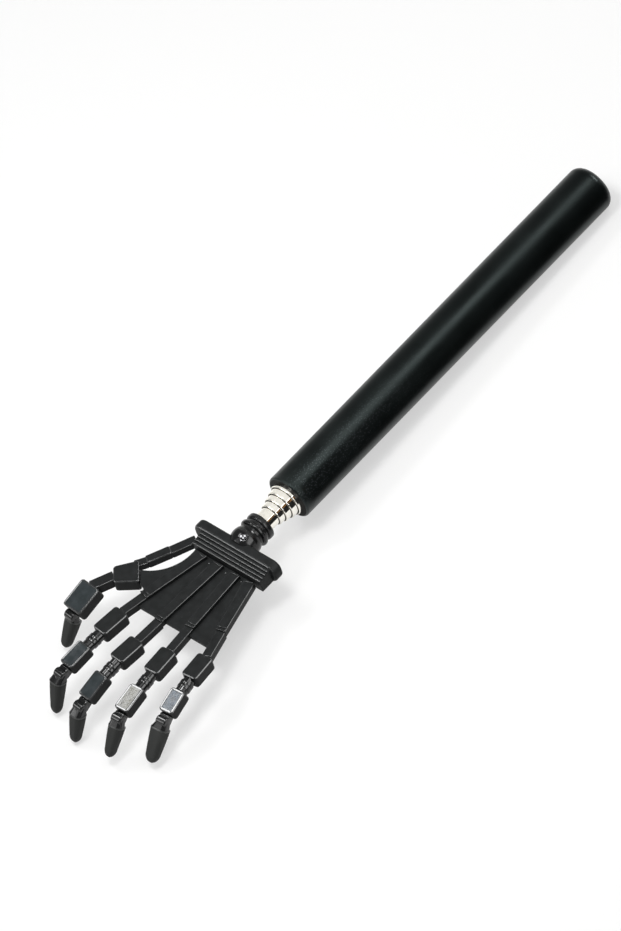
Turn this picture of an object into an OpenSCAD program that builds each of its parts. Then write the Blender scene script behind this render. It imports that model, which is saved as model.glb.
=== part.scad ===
// Telescopic back scratcher with a claw in the shape of a mechanical left hand.
// The shaft lies along X with the hand at +X, and the back of the hand looks up along Z.
// The origin is on the shaft's axis, at the middle of the grip. Lengths are in millimetres.

/* [Grip] */
// Outside diameter of the rubber grip
grip_d = 15.1; // [13:0.1:18]
// Length of the grip
grip_len = 137.5; // [110:0.5:180]
// Thickness of the grip's closed rear end
grip_end = 3; // [2:0.5:8]
// Rounding of the grip's rear edge
grip_rear_r = 3.1; // [1:0.1:5]
// Rounding of the grip's front edge
grip_front_r = 0.7; // [0.2:0.1:1]
// Gap between the grip and the tube that it covers
grip_fit = 0.03; // [0.01:0.01:0.08]

/* [Telescope] */
// Outside diameter of the fixed tube in the grip
tube_d = 11.2; // [10.4:0.1:12]
// Wall of every tube
tube_wall = 0.4; // [0.3:0.05:0.5]
// Gap between one tube's bore and the next tube
tube_gap = 0.2; // [0.16:0.01:0.3]
// How far each mouth stands out of the one before it
ring_step = 2.1; // [1.6:0.05:5]
// How far the fixed tube stands out of the grip
mouth_show = 1.3; // [0.4:0.1:4]
// How far the last tube stands out of the mouth behind it
last_show = 3.7; // [2:0.1:8]
// Length of the rolled-in mouth of a tube
lip_len = 1; // [0.7:0.1:1.5]
// Gap between a rolled mouth and the tube that slides in it
lip_fit = 0.05; // [0.02:0.01:0.08]
// Length of the rear plug inside the fixed tube
plug_len = 5; // [3:0.5:12]
// Thickness of the rear plug's flange
plug_flange = 1; // [0.6:0.1:3]
// Gap between the rear plug and the tube's bore
plug_fit = 0.02; // [0.01:0.01:0.05]
// Gap between the pushed-in tubes and the rear plug
rest_gap = 0.3; // [0.1:0.1:2]

/* [Spring sleeves] */
// Length of each split spring sleeve
sleeve_len = 18; // [8:0.5:30]
// Distance of a sleeve's groove from its tube's rear end
sleeve_back = 2.1; // [1:0.1:5]
// Depth of the groove that holds a sleeve
sleeve_groove = 0.15; // [0.1:0.01:0.2]
// Width of the slit in a sleeve
sleeve_slit = 0.8; // [0.4:0.1:1.5]
// Gap between a sleeve and the floor of its groove
sleeve_fit_in = 0.03; // [0.01:0.01:0.05]
// Gap between a sleeve and the bore that it slides in
sleeve_fit_out = 0.04; // [0.02:0.01:0.06]
// Room at each end of a sleeve in its groove
sleeve_play = 0.05; // [0.02:0.01:0.2]

/* [Neck] */
// Wall of the neck's ball around the last tube
neck_wall = 1.65; // [1.4:0.05:3]
// Length of the neck up to the wrist bar
neck_len = 9.1; // [8.5:0.1:20]
// Length of the flange ring at the rear
flange_len = 2; // [1.2:0.1:3]
// How much smaller the flange ring is than the ball, on the radius
flange_drop = 0.2; // [0:0.05:0.6]
// Length of the second ring
collar_len = 1.5; // [1.2:0.1:3]
// Length of the groove on each side of the second ring
neck_groove_len = 0.9; // [0.4:0.1:1.2]
// Depth of those grooves
neck_groove = 0.8; // [0.3:0.05:1]
// Rounding of the rings' rims
ring_round = 0.55; // [0.2:0.05:0.6]
// How far the ball's centre lies behind the wrist bar
ball_back = 1.5; // [1:0.1:3]
// How deep the ball goes into the wrist bar
ball_in = 1.8; // [1:0.1:2.2]
// How deep the last tube goes into the neck
neck_seat = 3; // [2:0.1:4]
// Diameter of the stud through the neck
stud_d = 4.4; // [3:0.1:4.8]
// Length of the stud inside the last tube
stud_in_tube = 10; // [4:0.5:30]
// Wall between the stud's end and the front of the bar's body
stud_wall = 0.6; // [0.4:0.1:1.5]
// Gap around seated pieces of the hand
seat_fit = 0.03; // [0.01:0.01:0.08]

/* [Neck screw] */
// Diameter of the screw's head
screw_head_d = 2.2; // [1.6:0.1:2.8]
// Height of the screw's head
screw_head_h = 0.7; // [0.5:0.1:1]
// Diameter of the screw's shank
screw_d = 1.4; // [0.8:0.1:1.5]
// How far the head stands out of the ball
screw_proud = 0.12; // [0:0.02:0.3]
// Lean of the screw towards the fingers, in degrees
screw_lean = 17; // [0:1:20]
// Turn of the screw around the shaft, in degrees
screw_turn = 20; // [-40:1:40]
// Gap between the screw's end and the stud
screw_gap = 0.15; // [0.05:0.05:0.4]
// Length of the cross recess
recess_len = 1.5; // [1:0.1:1.5]
// Width of the cross recess
recess_w = 0.34; // [0.2:0.02:0.5]
// Depth of the cross recess
recess_deep = 0.35; // [0.2:0.05:0.4]

/* [Wrist bar] */
// Length of the bar across the hand
bar_len = 32.2; // [30:0.2:42]
// Thickness of the bar along the shaft
bar_t = 3.5; // [2.8:0.1:5]
// Height of the bar
bar_h = 6.8; // [5.6:0.1:8]
// Height of the bar's middle over the shaft's axis
bar_lift = -0.6; // [-0.8:0.1:0.4]
// Rounding of the bar's ends, seen along the shaft
bar_end_r = 2.6; // [1:0.1:2.7]
// Rounding of the bar's long edges
bar_edge_r = 0.9; // [0.3:0.1:1.3]
// Rounding of the bar's ends, seen from above
bar_plan_r = 1.5; // [0.4:0.1:1.6]
// Length of the ribbed block across the hand
rib_len = 26.8; // [24:0.2:30]
// Offset of the ribbed block towards the little finger
rib_shift = 1.3; // [0:0.1:2]
// Number of ribs
rib_count = 4; // [3:1:5]
// Distance from rib to rib
rib_pitch = 1.15; // [1:0.05:1.4]
// How much lower each rib is than the one behind it
rib_drop = 0.3; // [0.15:0.01:0.4]
// Width of the groove behind each rib
rib_groove_w = 0.4; // [0.2:0.05:0.6]
// Depth of the groove behind each rib
rib_groove = 0.4; // [0.2:0.05:0.6]
// Lowest level of the ribbed block below the shaft's axis
rib_floor = 3.2; // [3:0.1:4]
// Rounding of the ribbed block's ends
rib_end_r = 1.5; // [0.5:0.1:2]

/* [Palm] */
// Depth of the web below the strips
web_drop = 1.4; // [1:0.1:1.8]
// Thickness of the web
web_t = 1.1; // [0.8:0.1:1.2]
// Distance of the web's front edge from the ribbed block
web_len = 24.8; // [20:0.2:26]
// Width of a strip at its front end
strip_w = 3.1; // [2.4:0.1:4]
// Extra width of a strip at its rear end
strip_flare = 0.6; // [0:0.1:1.4]
// Length of the web's tongue in the ribbed block
tongue_len = 3; // [1.5:0.1:4]
// Width of the two ridges across each knuckle
ridge_w = 0.45; // [0.3:0.05:0.7]
// Height of those ridges
ridge_h = 0.3; // [0.15:0.05:0.6]
// Distance between the two ridges of a knuckle
ridge_pitch = 1.1; // [0.8:0.1:1.6]
// Depth of the wing below the strips
wing_drop = 0.8; // [0.4:0.1:1]
// Depth of the wing's curved edge
wing_sag = 3; // [1.5:0.1:3.2]
// Gap between the wing and the thumb's root block
wing_gap = 0.12; // [0.05:0.01:0.3]

/* [Finger links] */
// Width of the link between a knuckle and the first block
link_w = 2.9; // [2.2:0.1:3.6]
// Height of that link
link_h = 2.8; // [2.4:0.1:3.2]
// Depth of the link's top below the strips
link_drop = 0.4; // [0.2:0.1:0.6]
// Diameter of the pegs that carry the fingers and the thumb
peg_d = 1.8; // [1.2:0.1:2]
// Length of the fingers' pegs
peg_len = 4; // [2:0.1:6]
// Wall between the thumb's peg and the palm's tongue
peg_wall = 0.4; // [0.3:0.1:1]

/* [Finger blocks] */
// Width of a finger's first block
block_w = 5.4; // [4.2:0.1:6]
// Height of a finger's first block
block_h = 4.3; // [3.6:0.1:5]
// Width of a finger's middle block
mid_w = 5; // [4:0.1:5.6]
// Height of a finger's middle block
mid_h = 4.1; // [3.4:0.1:4.6]
// Chamfer of the blocks' edges
block_chamfer = 0.3; // [0.2:0.05:0.8]
// Diameter of the neck between two blocks
rod_d = 3.3; // [2:0.1:3.4]
// Diameter of the collar on that neck
rod_collar_d = 3.9; // [3.4:0.1:4.2]
// Width of the collar on that neck
rod_collar_w = 1.8; // [0.8:0.1:2]
// Diameter of the knuckle barrel in the bend behind a fingertip
barrel_d = 4.2; // [3:0.1:4.4]
// Width of the knuckle barrel
barrel_w = 4.4; // [3.4:0.1:4.6]

/* [Fingertips] */
// Width of a fingertip at its base
tip_w = 4.7; // [4.4:0.1:5.4]
// Height of a fingertip at its base
tip_h = 4.2; // [4:0.1:5]
// Diameter of the round body that the fingertip's flats are cut on
tip_d = 5.2; // [5:0.1:6.4]
// Radius of a fingertip's round end
tip_end_r = 1.7; // [1.4:0.05:2.1]
// Length of the rim around a fingertip's base
tip_rim_len = 0.8; // [0.4:0.1:1.5]
// How far the rim stands out
tip_rim = 0.15; // [0.05:0.01:0.3]
// Diameter of the peg inside a fingertip
tip_peg_d = 2.2; // [1.6:0.1:2.6]
// Length of the peg inside a fingertip
tip_peg_len = 5; // [3:0.1:6]

/* [Index finger] */
// Place of the strip's rear end across the hand
index_y = -8.1; // [-8.6:0.1:-7.4]
// Length of the strip
index_strip = 22; // [20:0.1:24]
// Turn of the strip
index_strip_yaw = -12.5; // [-15:0.5:-10]
// Length of the link in front of the strip
index_link = 7.7; // [6.5:0.1:12]
// Turn of the finger
index_yaw = -5.5; // [-8:0.5:0]
// Length of the first block
index_block = 9.4; // [7:0.1:12]
// Length of the neck
index_neck = 5.6; // [4:0.1:8]
// Length of the middle block
index_mid = 8.5; // [6:0.1:12]
// Pitch of the middle block
index_mid_pitch = 9; // [0:0.5:25]
// Length of the bend behind the fingertip
index_bend = 6.4; // [6:0.1:8]
// Pitch of that bend
index_bend_pitch = 27; // [22:1:32]
// Length of the fingertip
index_tip_len = 12; // [9:0.1:16]
// Pitch of the fingertip
index_tip_pitch = 69.5; // [60:0.5:76]

/* [Middle finger] */
// Place of the strip's rear end across the hand
middle_y = -1.6; // [-2:0.1:-0.6]
// Length of the strip
middle_strip = 26; // [24:0.1:28]
// Turn of the strip
middle_strip_yaw = -3; // [-5:0.5:-1]
// Length of the link in front of the strip
middle_link = 8.6; // [5:0.1:12]
// Turn of the finger
middle_yaw = -5; // [-7:0.5:3]
// Length of the first block
middle_block = 8.8; // [7:0.1:12]
// Length of the neck
middle_neck = 5.9; // [4:0.1:8]
// Length of the middle block
middle_mid = 8.7; // [6:0.1:12]
// Pitch of the middle block
middle_mid_pitch = 18.5; // [0:0.5:25]
// Length of the bend behind the fingertip
middle_bend = 6.4; // [6.4:0.1:8]
// Pitch of that bend
middle_bend_pitch = 33; // [28:1:38]
// Length of the fingertip
middle_tip_len = 10.1; // [9:0.1:16]
// Pitch of the fingertip
middle_tip_pitch = 67; // [58:0.5:74]

/* [Ring finger] */
// Place of the strip's rear end across the hand
ring_y = 5; // [4.4:0.1:5.6]
// Length of the strip
ring_strip = 22.9; // [21:0.1:25]
// Turn of the strip
ring_strip_yaw = 3.8; // [2:0.1:6]
// Length of the link in front of the strip
ring_link = 9.3; // [5:0.1:12]
// Turn of the finger
ring_yaw = 3; // [0:0.5:5]
// Length of the first block
ring_block = 9; // [7:0.1:12]
// Length of the neck
ring_neck = 5.9; // [4:0.1:8]
// Length of the middle block
ring_mid = 8.8; // [6:0.1:12]
// Pitch of the middle block
ring_mid_pitch = 8.5; // [0:0.5:25]
// Length of the bend behind the fingertip
ring_bend = 5.4; // [5:0.1:7]
// Pitch of that bend
ring_bend_pitch = 34; // [29:1:39]
// Length of the fingertip
ring_tip_len = 10; // [9:0.1:16]
// Pitch of the fingertip
ring_tip_pitch = 49.5; // [40:0.5:60]

/* [Little finger] */
// Place of the strip's rear end across the hand
little_y = 10.6; // [10:0.1:11.4]
// Length of the strip
little_strip = 19.6; // [18:0.1:22]
// Turn of the strip
little_strip_yaw = 14.8; // [12:0.1:17]
// Length of the link in front of the strip
little_link = 9.3; // [7.5:0.1:12]
// Turn of the finger
little_yaw = 4.5; // [3:0.5:10]
// Length of the first block
little_block = 8.6; // [7:0.1:12]
// Length of the neck
little_neck = 4.9; // [4:0.1:8]
// Length of the middle block
little_mid = 7.7; // [6:0.1:12]
// Pitch of the middle block
little_mid_pitch = 15; // [0:0.5:25]
// Length of the bend behind the fingertip
little_bend = 5.4; // [5:0.1:7]
// Pitch of that bend
little_bend_pitch = 35; // [30:1:40]
// Length of the fingertip
little_tip_len = 10.8; // [9:0.1:16]
// Pitch of the fingertip
little_tip_pitch = 45; // [38:0.5:56]
// Extra width of the fingertip, on the side towards the ring finger
little_tip_wider = 0.9; // [0:0.1:1.2]

/* [Thumb] */
// Place of the thumb's foot along the ribbed block, from the bar's rear face
thumb_foot_x = 5.4; // [5:0.1:6]
// Length of the foot beside the ribbed block
thumb_foot_len = 1.6; // [1.4:0.1:3]
// Thickness of the foot along the shaft
thumb_foot_t = 3; // [2.4:0.1:4]
// Length of the first link
thumb_link = 8; // [6:0.1:10]
// Turn of the first link
thumb_link_yaw = -27; // [-30:0.5:-20]
// Length of the second link
thumb_bone = 7.7; // [6:0.1:9]
// Turn of the second link
thumb_bone_yaw = -28; // [-34:0.5:-26]
// Width of the second link
thumb_bone_w = 3; // [2.8:0.1:4]
// Length of the short neck in front of the second link
thumb_neck = 2.2; // [1.8:0.1:3]
// Offset of the root block towards the palm
thumb_shift = 3.1; // [2.4:0.1:3.4]
// Length of the root block
thumb_root = 7.8; // [6:0.1:10]
// Turn of the root block
thumb_root_yaw = -48; // [-52:0.5:-44]
// Width of the root block at its rear end
thumb_root_rear_w = 8; // [7.4:0.1:8.6]
// Width of the root block at its front end
thumb_root_front_w = 6; // [5:0.1:7]
// Length of the neck in front of the root block
thumb_rod = 7; // [5:0.1:9]
// Turn of that neck
thumb_rod_yaw = -27.5; // [-38:0.5:-24]
// Length of the middle block
thumb_mid = 9.4; // [6.5:0.1:11]
// Width of the middle block
thumb_mid_w = 7.4; // [5:0.1:8]
// Height of the middle block
thumb_mid_h = 4.4; // [3.8:0.1:5]
// Turn of the middle block
thumb_yaw = -5; // [-8:0.5:5]
// Pitch of the middle block
thumb_mid_pitch = 16.5; // [5:0.5:25]
// Length of the bend behind the fingertip
thumb_bend_len = 3.8; // [3.6:0.1:5]
// Pitch of that bend
thumb_bend_pitch = 60; // [50:1:66]
// Length of the fingertip
thumb_tip_len = 9.4; // [8.5:0.1:14]
// Pitch of the fingertip
thumb_tip_pitch = 54; // [34:0.5:60]

/* [Hidden] */
$fn = 64;
// Overlap that lets two shapes of one piece merge
merge = 0.2;
// Overlap of a cut past the face that it opens
open = 1;

stage_count = 4;
grip_r = grip_d / 2;
grip_rear = -grip_len / 2;
grip_front = grip_len / 2;
tube_rear = grip_rear + grip_end + plug_flange;
stage_rear = tube_rear + plug_len + rest_gap;

// Outside radius of a tube, counted from the fixed one at 0
function tube_r(n) = tube_d / 2 - n * (tube_wall + tube_gap);
function bore_r(n) = tube_r(n) - tube_wall;
function mouth_r(n) = tube_r(n + 1) + lip_fit;
function mouth_x(n) = grip_front + mouth_show + n * ring_step;

grip_bore_r = tube_r(0) + grip_fit;
grip_wall = grip_r - grip_bore_r;
front_round = min(grip_front_r, 0.8 * grip_wall);

last_r = tube_r(stage_count);
ball_r = last_r + neck_wall;
neck_x = mouth_x(stage_count - 1) + last_show;
bar_x = neck_x + neck_len;
ball_x = bar_x - ball_back;

// The hand is drawn in its own frame, from the rear face of the wrist bar
bar_top = bar_lift + bar_h / 2;
rib_front = bar_t + rib_count * rib_pitch;
rib_end_y = rib_shift - rib_len / 2;
strip_x = rib_front + seat_fit;
web_front = rib_front + web_len;
palm_floor = web_drop + web_t;
stud_end = bar_t - stud_wall;

function heading(a) = [cos(a), sin(a)];
function aside(a) = [-sin(a), cos(a)];
// Directions in a finger's own upright plane, as [forward, up], for a pitch down
function along(p) = [cos(p), -sin(p)];
function below(p) = [-sin(p), -cos(p)];
function upright(p) = [p[0], 0, p[1]];

// A strip: its rear place, length and turn, then its link's length and its finger's turn
index_base = [index_y, index_strip, index_strip_yaw, index_link, index_yaw];
middle_base = [middle_y, middle_strip, middle_strip_yaw, middle_link, middle_yaw];
ring_base = [ring_y, ring_strip, ring_strip_yaw, ring_link, ring_yaw];
little_base = [little_y, little_strip, little_strip_yaw, little_link, little_yaw];
bases = [index_base, middle_base, ring_base, little_base];

function strip_at(b, s) = [strip_x, b[0]] + s * heading(b[2]);
function knuckle(b) = strip_at(b, b[1]);
function link_end(b) = strip_at(b, b[1] + b[3]);
// Point of a strip's middle line at a distance along the shaft
function strip_y(b, x) = b[0] + (x - strip_x) * tan(b[2]);

// A finger: first block, neck, middle block and its pitch, bend and its pitch, fingertip and its pitch
index_bones = [
    index_block, index_neck, index_mid, index_mid_pitch,
    index_bend, index_bend_pitch, index_tip_len, index_tip_pitch
];
middle_bones = [
    middle_block, middle_neck, middle_mid, middle_mid_pitch,
    middle_bend, middle_bend_pitch, middle_tip_len, middle_tip_pitch
];
ring_bones = [
    ring_block, ring_neck, ring_mid, ring_mid_pitch,
    ring_bend, ring_bend_pitch, ring_tip_len, ring_tip_pitch
];
little_bones = [
    little_block, little_neck, little_mid, little_mid_pitch,
    little_bend, little_bend_pitch, little_tip_len, little_tip_pitch
];

function mid_rear(f) = [f[0], 0] + f[1] * along(f[3] / 2);
function mid_front(f) = mid_rear(f) + f[2] * along(f[3]);
function tip_top(f) = mid_front(f) + f[4] * along(f[5]);

// The thumb's chain, seen from above
thumb_start = [thumb_foot_x, rib_end_y - thumb_foot_len];
thumb_link_end = thumb_start + thumb_link * heading(thumb_link_yaw);
thumb_bone_end = thumb_link_end + thumb_bone * heading(thumb_bone_yaw);
thumb_join = thumb_bone_end + thumb_neck * heading(thumb_bone_yaw);
thumb_root_rear = thumb_join + thumb_shift * aside(thumb_root_yaw);
thumb_root_front = thumb_root_rear + thumb_root * heading(thumb_root_yaw);
thumb_mid_rear = thumb_root_front + thumb_rod * heading(thumb_rod_yaw);
thumb_mid_front = thumb_mid * along(thumb_mid_pitch);
thumb_tip_top = thumb_mid_front + thumb_bend_len * along(thumb_bend_pitch);

// Turns a shape that stands on Z so that it lies along X
module along_x(x = 0) translate([x, 0, 0]) rotate([0, 90, 0]) children();

// Rectangle with its corners cut, centred
module cut_rect(a, b, c) {
    polygon([
        [-a / 2 + c, -b / 2], [a / 2 - c, -b / 2], [a / 2, -b / 2 + c], [a / 2, b / 2 - c],
        [a / 2 - c, b / 2], [-a / 2 + c, b / 2], [-a / 2, b / 2 - c], [-a / 2, -b / 2 + c]
    ]);
}

// Rectangle with round corners, centred
module round_rect(a, b, r) {
    square([a - 2 * r, b], center = true);
    square([a, b - 2 * r], center = true);
    for (x = [-1, 1], y = [-1, 1])
        translate([x * (a / 2 - r), y * (b / 2 - r)]) circle(r);
}

// Box with chamfered edges: rear face at x = 0, top face at z = 0
module cut_block(l, w, h, c) {
    translate([l / 2, 0, -h / 2]) intersection() {
        linear_extrude(h, center = true) cut_rect(l, w, c);
        rotate([90, 0, 0]) linear_extrude(w, center = true) cut_rect(l, h, c);
        rotate([90, 0, 90]) linear_extrude(l, center = true) cut_rect(w, h, c);
    }
}

// Round bar between two points of a finger's upright plane
module rod(p, q, d) {
    run = q - p;
    translate(upright(p)) rotate([0, atan2(run[0], run[1]), 0]) cylinder(d = d, h = norm(run));
}

// Bar of square section between two points seen from above, with its top at -drop
module flat_bar(p, q, w, h, drop) {
    run = q - p;
    translate([p[0], p[1], -drop]) rotate([0, 0, atan2(run[1], run[0])])
        translate([0, -w / 2, -h]) cube([norm(run), w, h]);
}

module in_hand() translate([bar_x, 0, 0]) children();

// Frame of a finger: at the end of its link, turned to the finger's own heading
module at_finger(b) {
    p = link_end(b);
    in_hand() translate([p[0], p[1], 0]) rotate([0, 0, b[4]]) children();
}

module at_thumb() {
    in_hand() translate([thumb_mid_rear[0], thumb_mid_rear[1], 0])
        rotate([0, 0, thumb_yaw]) children();
}

// Section of a grip with round edges and a closed rear end
module grip_section() {
    difference() {
        union() {
            translate([0, grip_rear]) square([grip_r - grip_rear_r, grip_len]);
            translate([0, grip_rear + grip_rear_r])
                square([grip_r, grip_len - grip_rear_r - front_round]);
            translate([0, grip_rear + grip_rear_r])
                square([grip_r - front_round, grip_len - grip_rear_r]);
            translate([grip_r - grip_rear_r, grip_rear + grip_rear_r]) circle(grip_rear_r);
            translate([grip_r - front_round, grip_front - front_round]) circle(front_round);
        }
        translate([0, grip_rear + grip_end]) square([grip_bore_r, grip_len]);
    }
}

module grip_sleeve() color("#17181a") along_x() rotate_extrude() grip_section();

// Section of a tube whose mouth is rolled in around the next tube
module rolled_tube_section(n, rear) {
    front = mouth_x(n);
    roll = (tube_r(n) - mouth_r(n)) / 2;
    polygon([
        [bore_r(n), rear], [tube_r(n), rear], [tube_r(n), front - roll],
        [mouth_r(n), front - roll], [mouth_r(n), front - lip_len],
        [bore_r(n), front - lip_len - bore_r(n) + mouth_r(n)]
    ]);
    translate([mouth_r(n) + roll, front - roll]) circle(roll);
}

module sleeve_groove_section(n) {
    translate([tube_r(n) - sleeve_groove, stage_rear + sleeve_back])
        square([sleeve_groove + open, sleeve_len + 2 * sleeve_play]);
}

module outer_tube() color("#d8d4c6") along_x() rotate_extrude() rolled_tube_section(0, tube_rear);

module rear_plug() color("#2b2c2e") {
    along_x(grip_rear + grip_end) cylinder(r = tube_r(0), h = plug_flange);
    along_x(tube_rear - merge) cylinder(r = bore_r(0) - plug_fit, h = plug_len + merge);
}

module stage_tube(n) {
    color("#d8d4c6") along_x() rotate_extrude() difference() {
        rolled_tube_section(n, stage_rear);
        sleeve_groove_section(n);
    }
}

// The last tube has a plain front end, seated in the neck
module last_tube() {
    color("#d8d4c6") along_x() rotate_extrude() difference() {
        translate([last_r - tube_wall, stage_rear])
            square([tube_wall, neck_x + neck_seat - stage_rear]);
        sleeve_groove_section(stage_count);
    }
}

module spring_sleeve(n) {
    inner = tube_r(n) - sleeve_groove + sleeve_fit_in;
    outer = bore_r(n - 1) - sleeve_fit_out;
    color("#b58b4a") along_x(stage_rear + sleeve_back + sleeve_play) difference() {
        cylinder(r = outer, h = sleeve_len);
        translate([0, 0, -open]) cylinder(r = inner, h = sleeve_len + 2 * open);
        translate([-outer - open, -sleeve_slit / 2, -open])
            cube([outer + open, sleeve_slit, sleeve_len + 2 * open]);
    }
}

module hand_stud() color("#b58b4a") {
    shoulder = neck_x + neck_seat;
    along_x(neck_x - stud_in_tube)
        cylinder(r = last_r - tube_wall - seat_fit, h = stud_in_tube + neck_seat);
    along_x(shoulder - merge) cylinder(d = stud_d, h = bar_x + stud_end - shoulder + merge);
}

// Half section of a ring with round rims, from the axis out
module rim_section(r, l) {
    square([r - ring_round, l]);
    translate([0, ring_round]) square([r, l - 2 * ring_round]);
    translate([r - ring_round, ring_round]) circle(ring_round);
    translate([r - ring_round, l - ring_round]) circle(ring_round);
}

module neck_section() {
    collar_at = flange_len + neck_groove_len;
    difference() {
        intersection() {
            union() {
                rim_section(ball_r - flange_drop, flange_len);
                translate([0, collar_at]) rim_section(ball_r, collar_len);
                square([ball_r - neck_groove, neck_len - ball_back]);
                translate([0, neck_len - ball_back]) circle(ball_r);
            }
            difference() {
                square([ball_r, neck_len + ball_in]);
                translate([ball_r - neck_groove, collar_at + collar_len])
                    square([ball_r, neck_groove_len]);
            }
        }
        square([last_r + seat_fit, neck_seat]);
        square([stud_d / 2 + seat_fit, neck_len + ball_in + open]);
    }
}

// Frame of the neck screw: at the ball's centre, with Z along the screw
module at_screw() {
    translate([ball_x, 0, 0]) rotate([-screw_turn, 0, 0]) rotate([0, screw_lean, 0]) children();
}

screw_top = ball_r + screw_proud;
screw_seat = screw_top - screw_head_h;
// The shank ends just above the stud
screw_end = (stud_d / 2 + screw_d / 2 * sin(screw_lean) + screw_gap) / cos(screw_lean);

module neck_socket() color("#121214") difference() {
    along_x(neck_x) rotate_extrude() neck_section();
    at_screw() {
        translate([0, 0, screw_seat]) cylinder(d = screw_head_d + 2 * seat_fit, h = ball_r);
        cylinder(d = screw_d + 2 * seat_fit, h = ball_r);
    }
}

module neck_screw() color("#4a4b4e") at_screw() difference() {
    union() {
        translate([0, 0, screw_seat]) cylinder(d = screw_head_d, h = screw_head_h);
        translate([0, 0, screw_end]) cylinder(d = screw_d, h = screw_seat - screw_end + merge);
    }
    for (a = [45, 135])
        translate([0, 0, screw_top]) rotate([0, 0, a])
            cube([recess_len, recess_w, 2 * recess_deep], center = true);
}

// Side view of the ribbed block: each rib is a step down with a groove behind it
module rib_section() {
    inside = bar_t / 2;
    polygon(concat(
        [[inside, -rib_floor], [inside, bar_top - rib_drop - rib_groove]],
        [for (k = [0 : rib_count - 1]) each [
            [bar_t + k * rib_pitch, bar_top - (k + 1) * rib_drop - rib_groove],
            [bar_t + k * rib_pitch + rib_groove_w, bar_top - (k + 1) * rib_drop - rib_groove],
            [bar_t + k * rib_pitch + rib_groove_w, bar_top - (k + 1) * rib_drop],
            [bar_t + (k + 1) * rib_pitch, bar_top - (k + 1) * rib_drop]
        ]],
        [[rib_front, -rib_floor]]
    ));
}

module bar_body() {
    translate([bar_t / 2, 0, bar_lift]) intersection() {
        rotate([90, 0, 90]) linear_extrude(bar_t, center = true)
            round_rect(bar_len, bar_h, bar_end_r);
        linear_extrude(bar_h, center = true) round_rect(bar_t, bar_len, bar_plan_r);
        rotate([90, 0, 0]) linear_extrude(bar_len, center = true)
            round_rect(bar_t, bar_h, bar_edge_r);
    }
}

module rib_body() {
    rib_top = bar_top - rib_drop;
    rib_h = rib_top + rib_floor;
    intersection() {
        translate([0, rib_shift + rib_len / 2, 0]) rotate([90, 0, 0])
            linear_extrude(rib_len) rib_section();
        translate([0, rib_shift, rib_top - rib_h / 2]) rotate([90, 0, 90])
            linear_extrude(rib_front + open) round_rect(rib_len, rib_h, rib_end_r);
    }
}

// The peg of the thumb lies along Y, at the middle of the thumb's foot, and ends before the tongue
thumb_peg_z = -link_drop - link_h / 2;
thumb_peg_len = index_y - rib_end_y - peg_wall - 2 * seat_fit;

module wrist_bar() color("#131315") in_hand() difference() {
    union() {
        bar_body();
        rib_body();
    }
    intersection() {
        translate([-ball_back, 0, 0]) sphere(ball_r + seat_fit);
        translate([-ball_r, -ball_r, -ball_r])
            cube([ball_r + ball_in + seat_fit, 2 * ball_r, 2 * ball_r]);
    }
    along_x() cylinder(d = stud_d + 2 * seat_fit, h = stud_end + seat_fit);
    translate([rib_front - tongue_len - seat_fit, index_y - seat_fit, -palm_floor - seat_fit])
        cube([tongue_len + open, little_y - index_y + 2 * seat_fit, web_t + 2 * seat_fit]);
    translate([thumb_foot_x, rib_end_y + thumb_peg_len + seat_fit, thumb_peg_z]) rotate([90, 0, 0])
        cylinder(d = peg_d + 2 * seat_fit, h = thumb_peg_len + open);
}

module strip(b) {
    half_rear = (strip_w + strip_flare) / 2;
    half_front = strip_w / 2;
    translate([strip_x, b[0], -palm_floor]) rotate([0, 0, b[2]])
        linear_extrude(palm_floor) polygon([
            [-half_rear, -half_rear], [b[1], -half_front], [b[1], half_front], [-half_rear, half_rear]
        ]);
    translate([strip_x, b[0], 0]) rotate([0, 0, b[2]])
        for (k = [0, 1])
            translate([b[1] - ridge_w - k * ridge_pitch, -half_front, -merge])
                cube([ridge_w, strip_w, ridge_h + merge]);
    flat_bar(strip_at(b, b[1] - merge), link_end(b), link_w, link_h, link_drop);
    p = link_end(b);
    translate([p[0], p[1], -block_h / 2]) rotate([0, 0, b[4]])
        along_x(-link_w / 2) cylinder(d = peg_d, h = peg_len + link_w / 2);
}

module web() {
    translate([0, 0, -palm_floor]) linear_extrude(web_t) polygon([
        [rib_front - tongue_len, index_y], [strip_x, index_y],
        [web_front, strip_y(index_base, web_front)],
        [web_front, strip_y(little_base, web_front)],
        [strip_x, little_y], [rib_front - tongue_len, little_y]
    ]);
}

// The wing runs from the ribbed block to the thumb's root block, with a curved outer edge.
// Its reach is given in shares of the root block's width and of the index strip's length, and its
// rear corner lies a little inside the ribbed block's end.
wing_out = 0.125;
wing_in = 0.48;
wing_on_strip = 0.94;
wing_inset = 0.6;
wing_rear = [strip_x, rib_end_y + wing_inset];
wing_edge = thumb_root_rear - wing_gap * heading(thumb_root_yaw);
wing_tip = wing_edge - wing_out * thumb_root_rear_w * aside(thumb_root_yaw);
wing_corner = wing_edge + wing_in * thumb_root_rear_w * aside(thumb_root_yaw);
wing_chord = wing_tip - wing_rear;
wing_r = norm(wing_chord) * norm(wing_chord) / (8 * wing_sag) + wing_sag / 2;
wing_turn = atan2(wing_chord[1], wing_chord[0]);
wing_centre = (wing_rear + wing_tip) / 2 - (wing_r - wing_sag) * aside(wing_turn);

module wing() {
    translate([0, 0, -palm_floor]) linear_extrude(palm_floor - wing_drop) difference() {
        polygon([
            wing_rear, wing_tip, wing_corner,
            strip_at(index_base, wing_on_strip * index_strip), strip_at(index_base, 0)
        ]);
        translate(wing_centre) circle(wing_r, $fn = 2 * $fn);
    }
}

module palm_plate() color("#141517") in_hand() {
    web();
    wing();
    // The strips end flush in front of the ribbed block
    difference() {
        for (b = bases) strip(b);
        translate([0, rib_end_y, -palm_floor - open]) cube([strip_x, rib_len, palm_floor + 2 * open]);
    }
}

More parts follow.
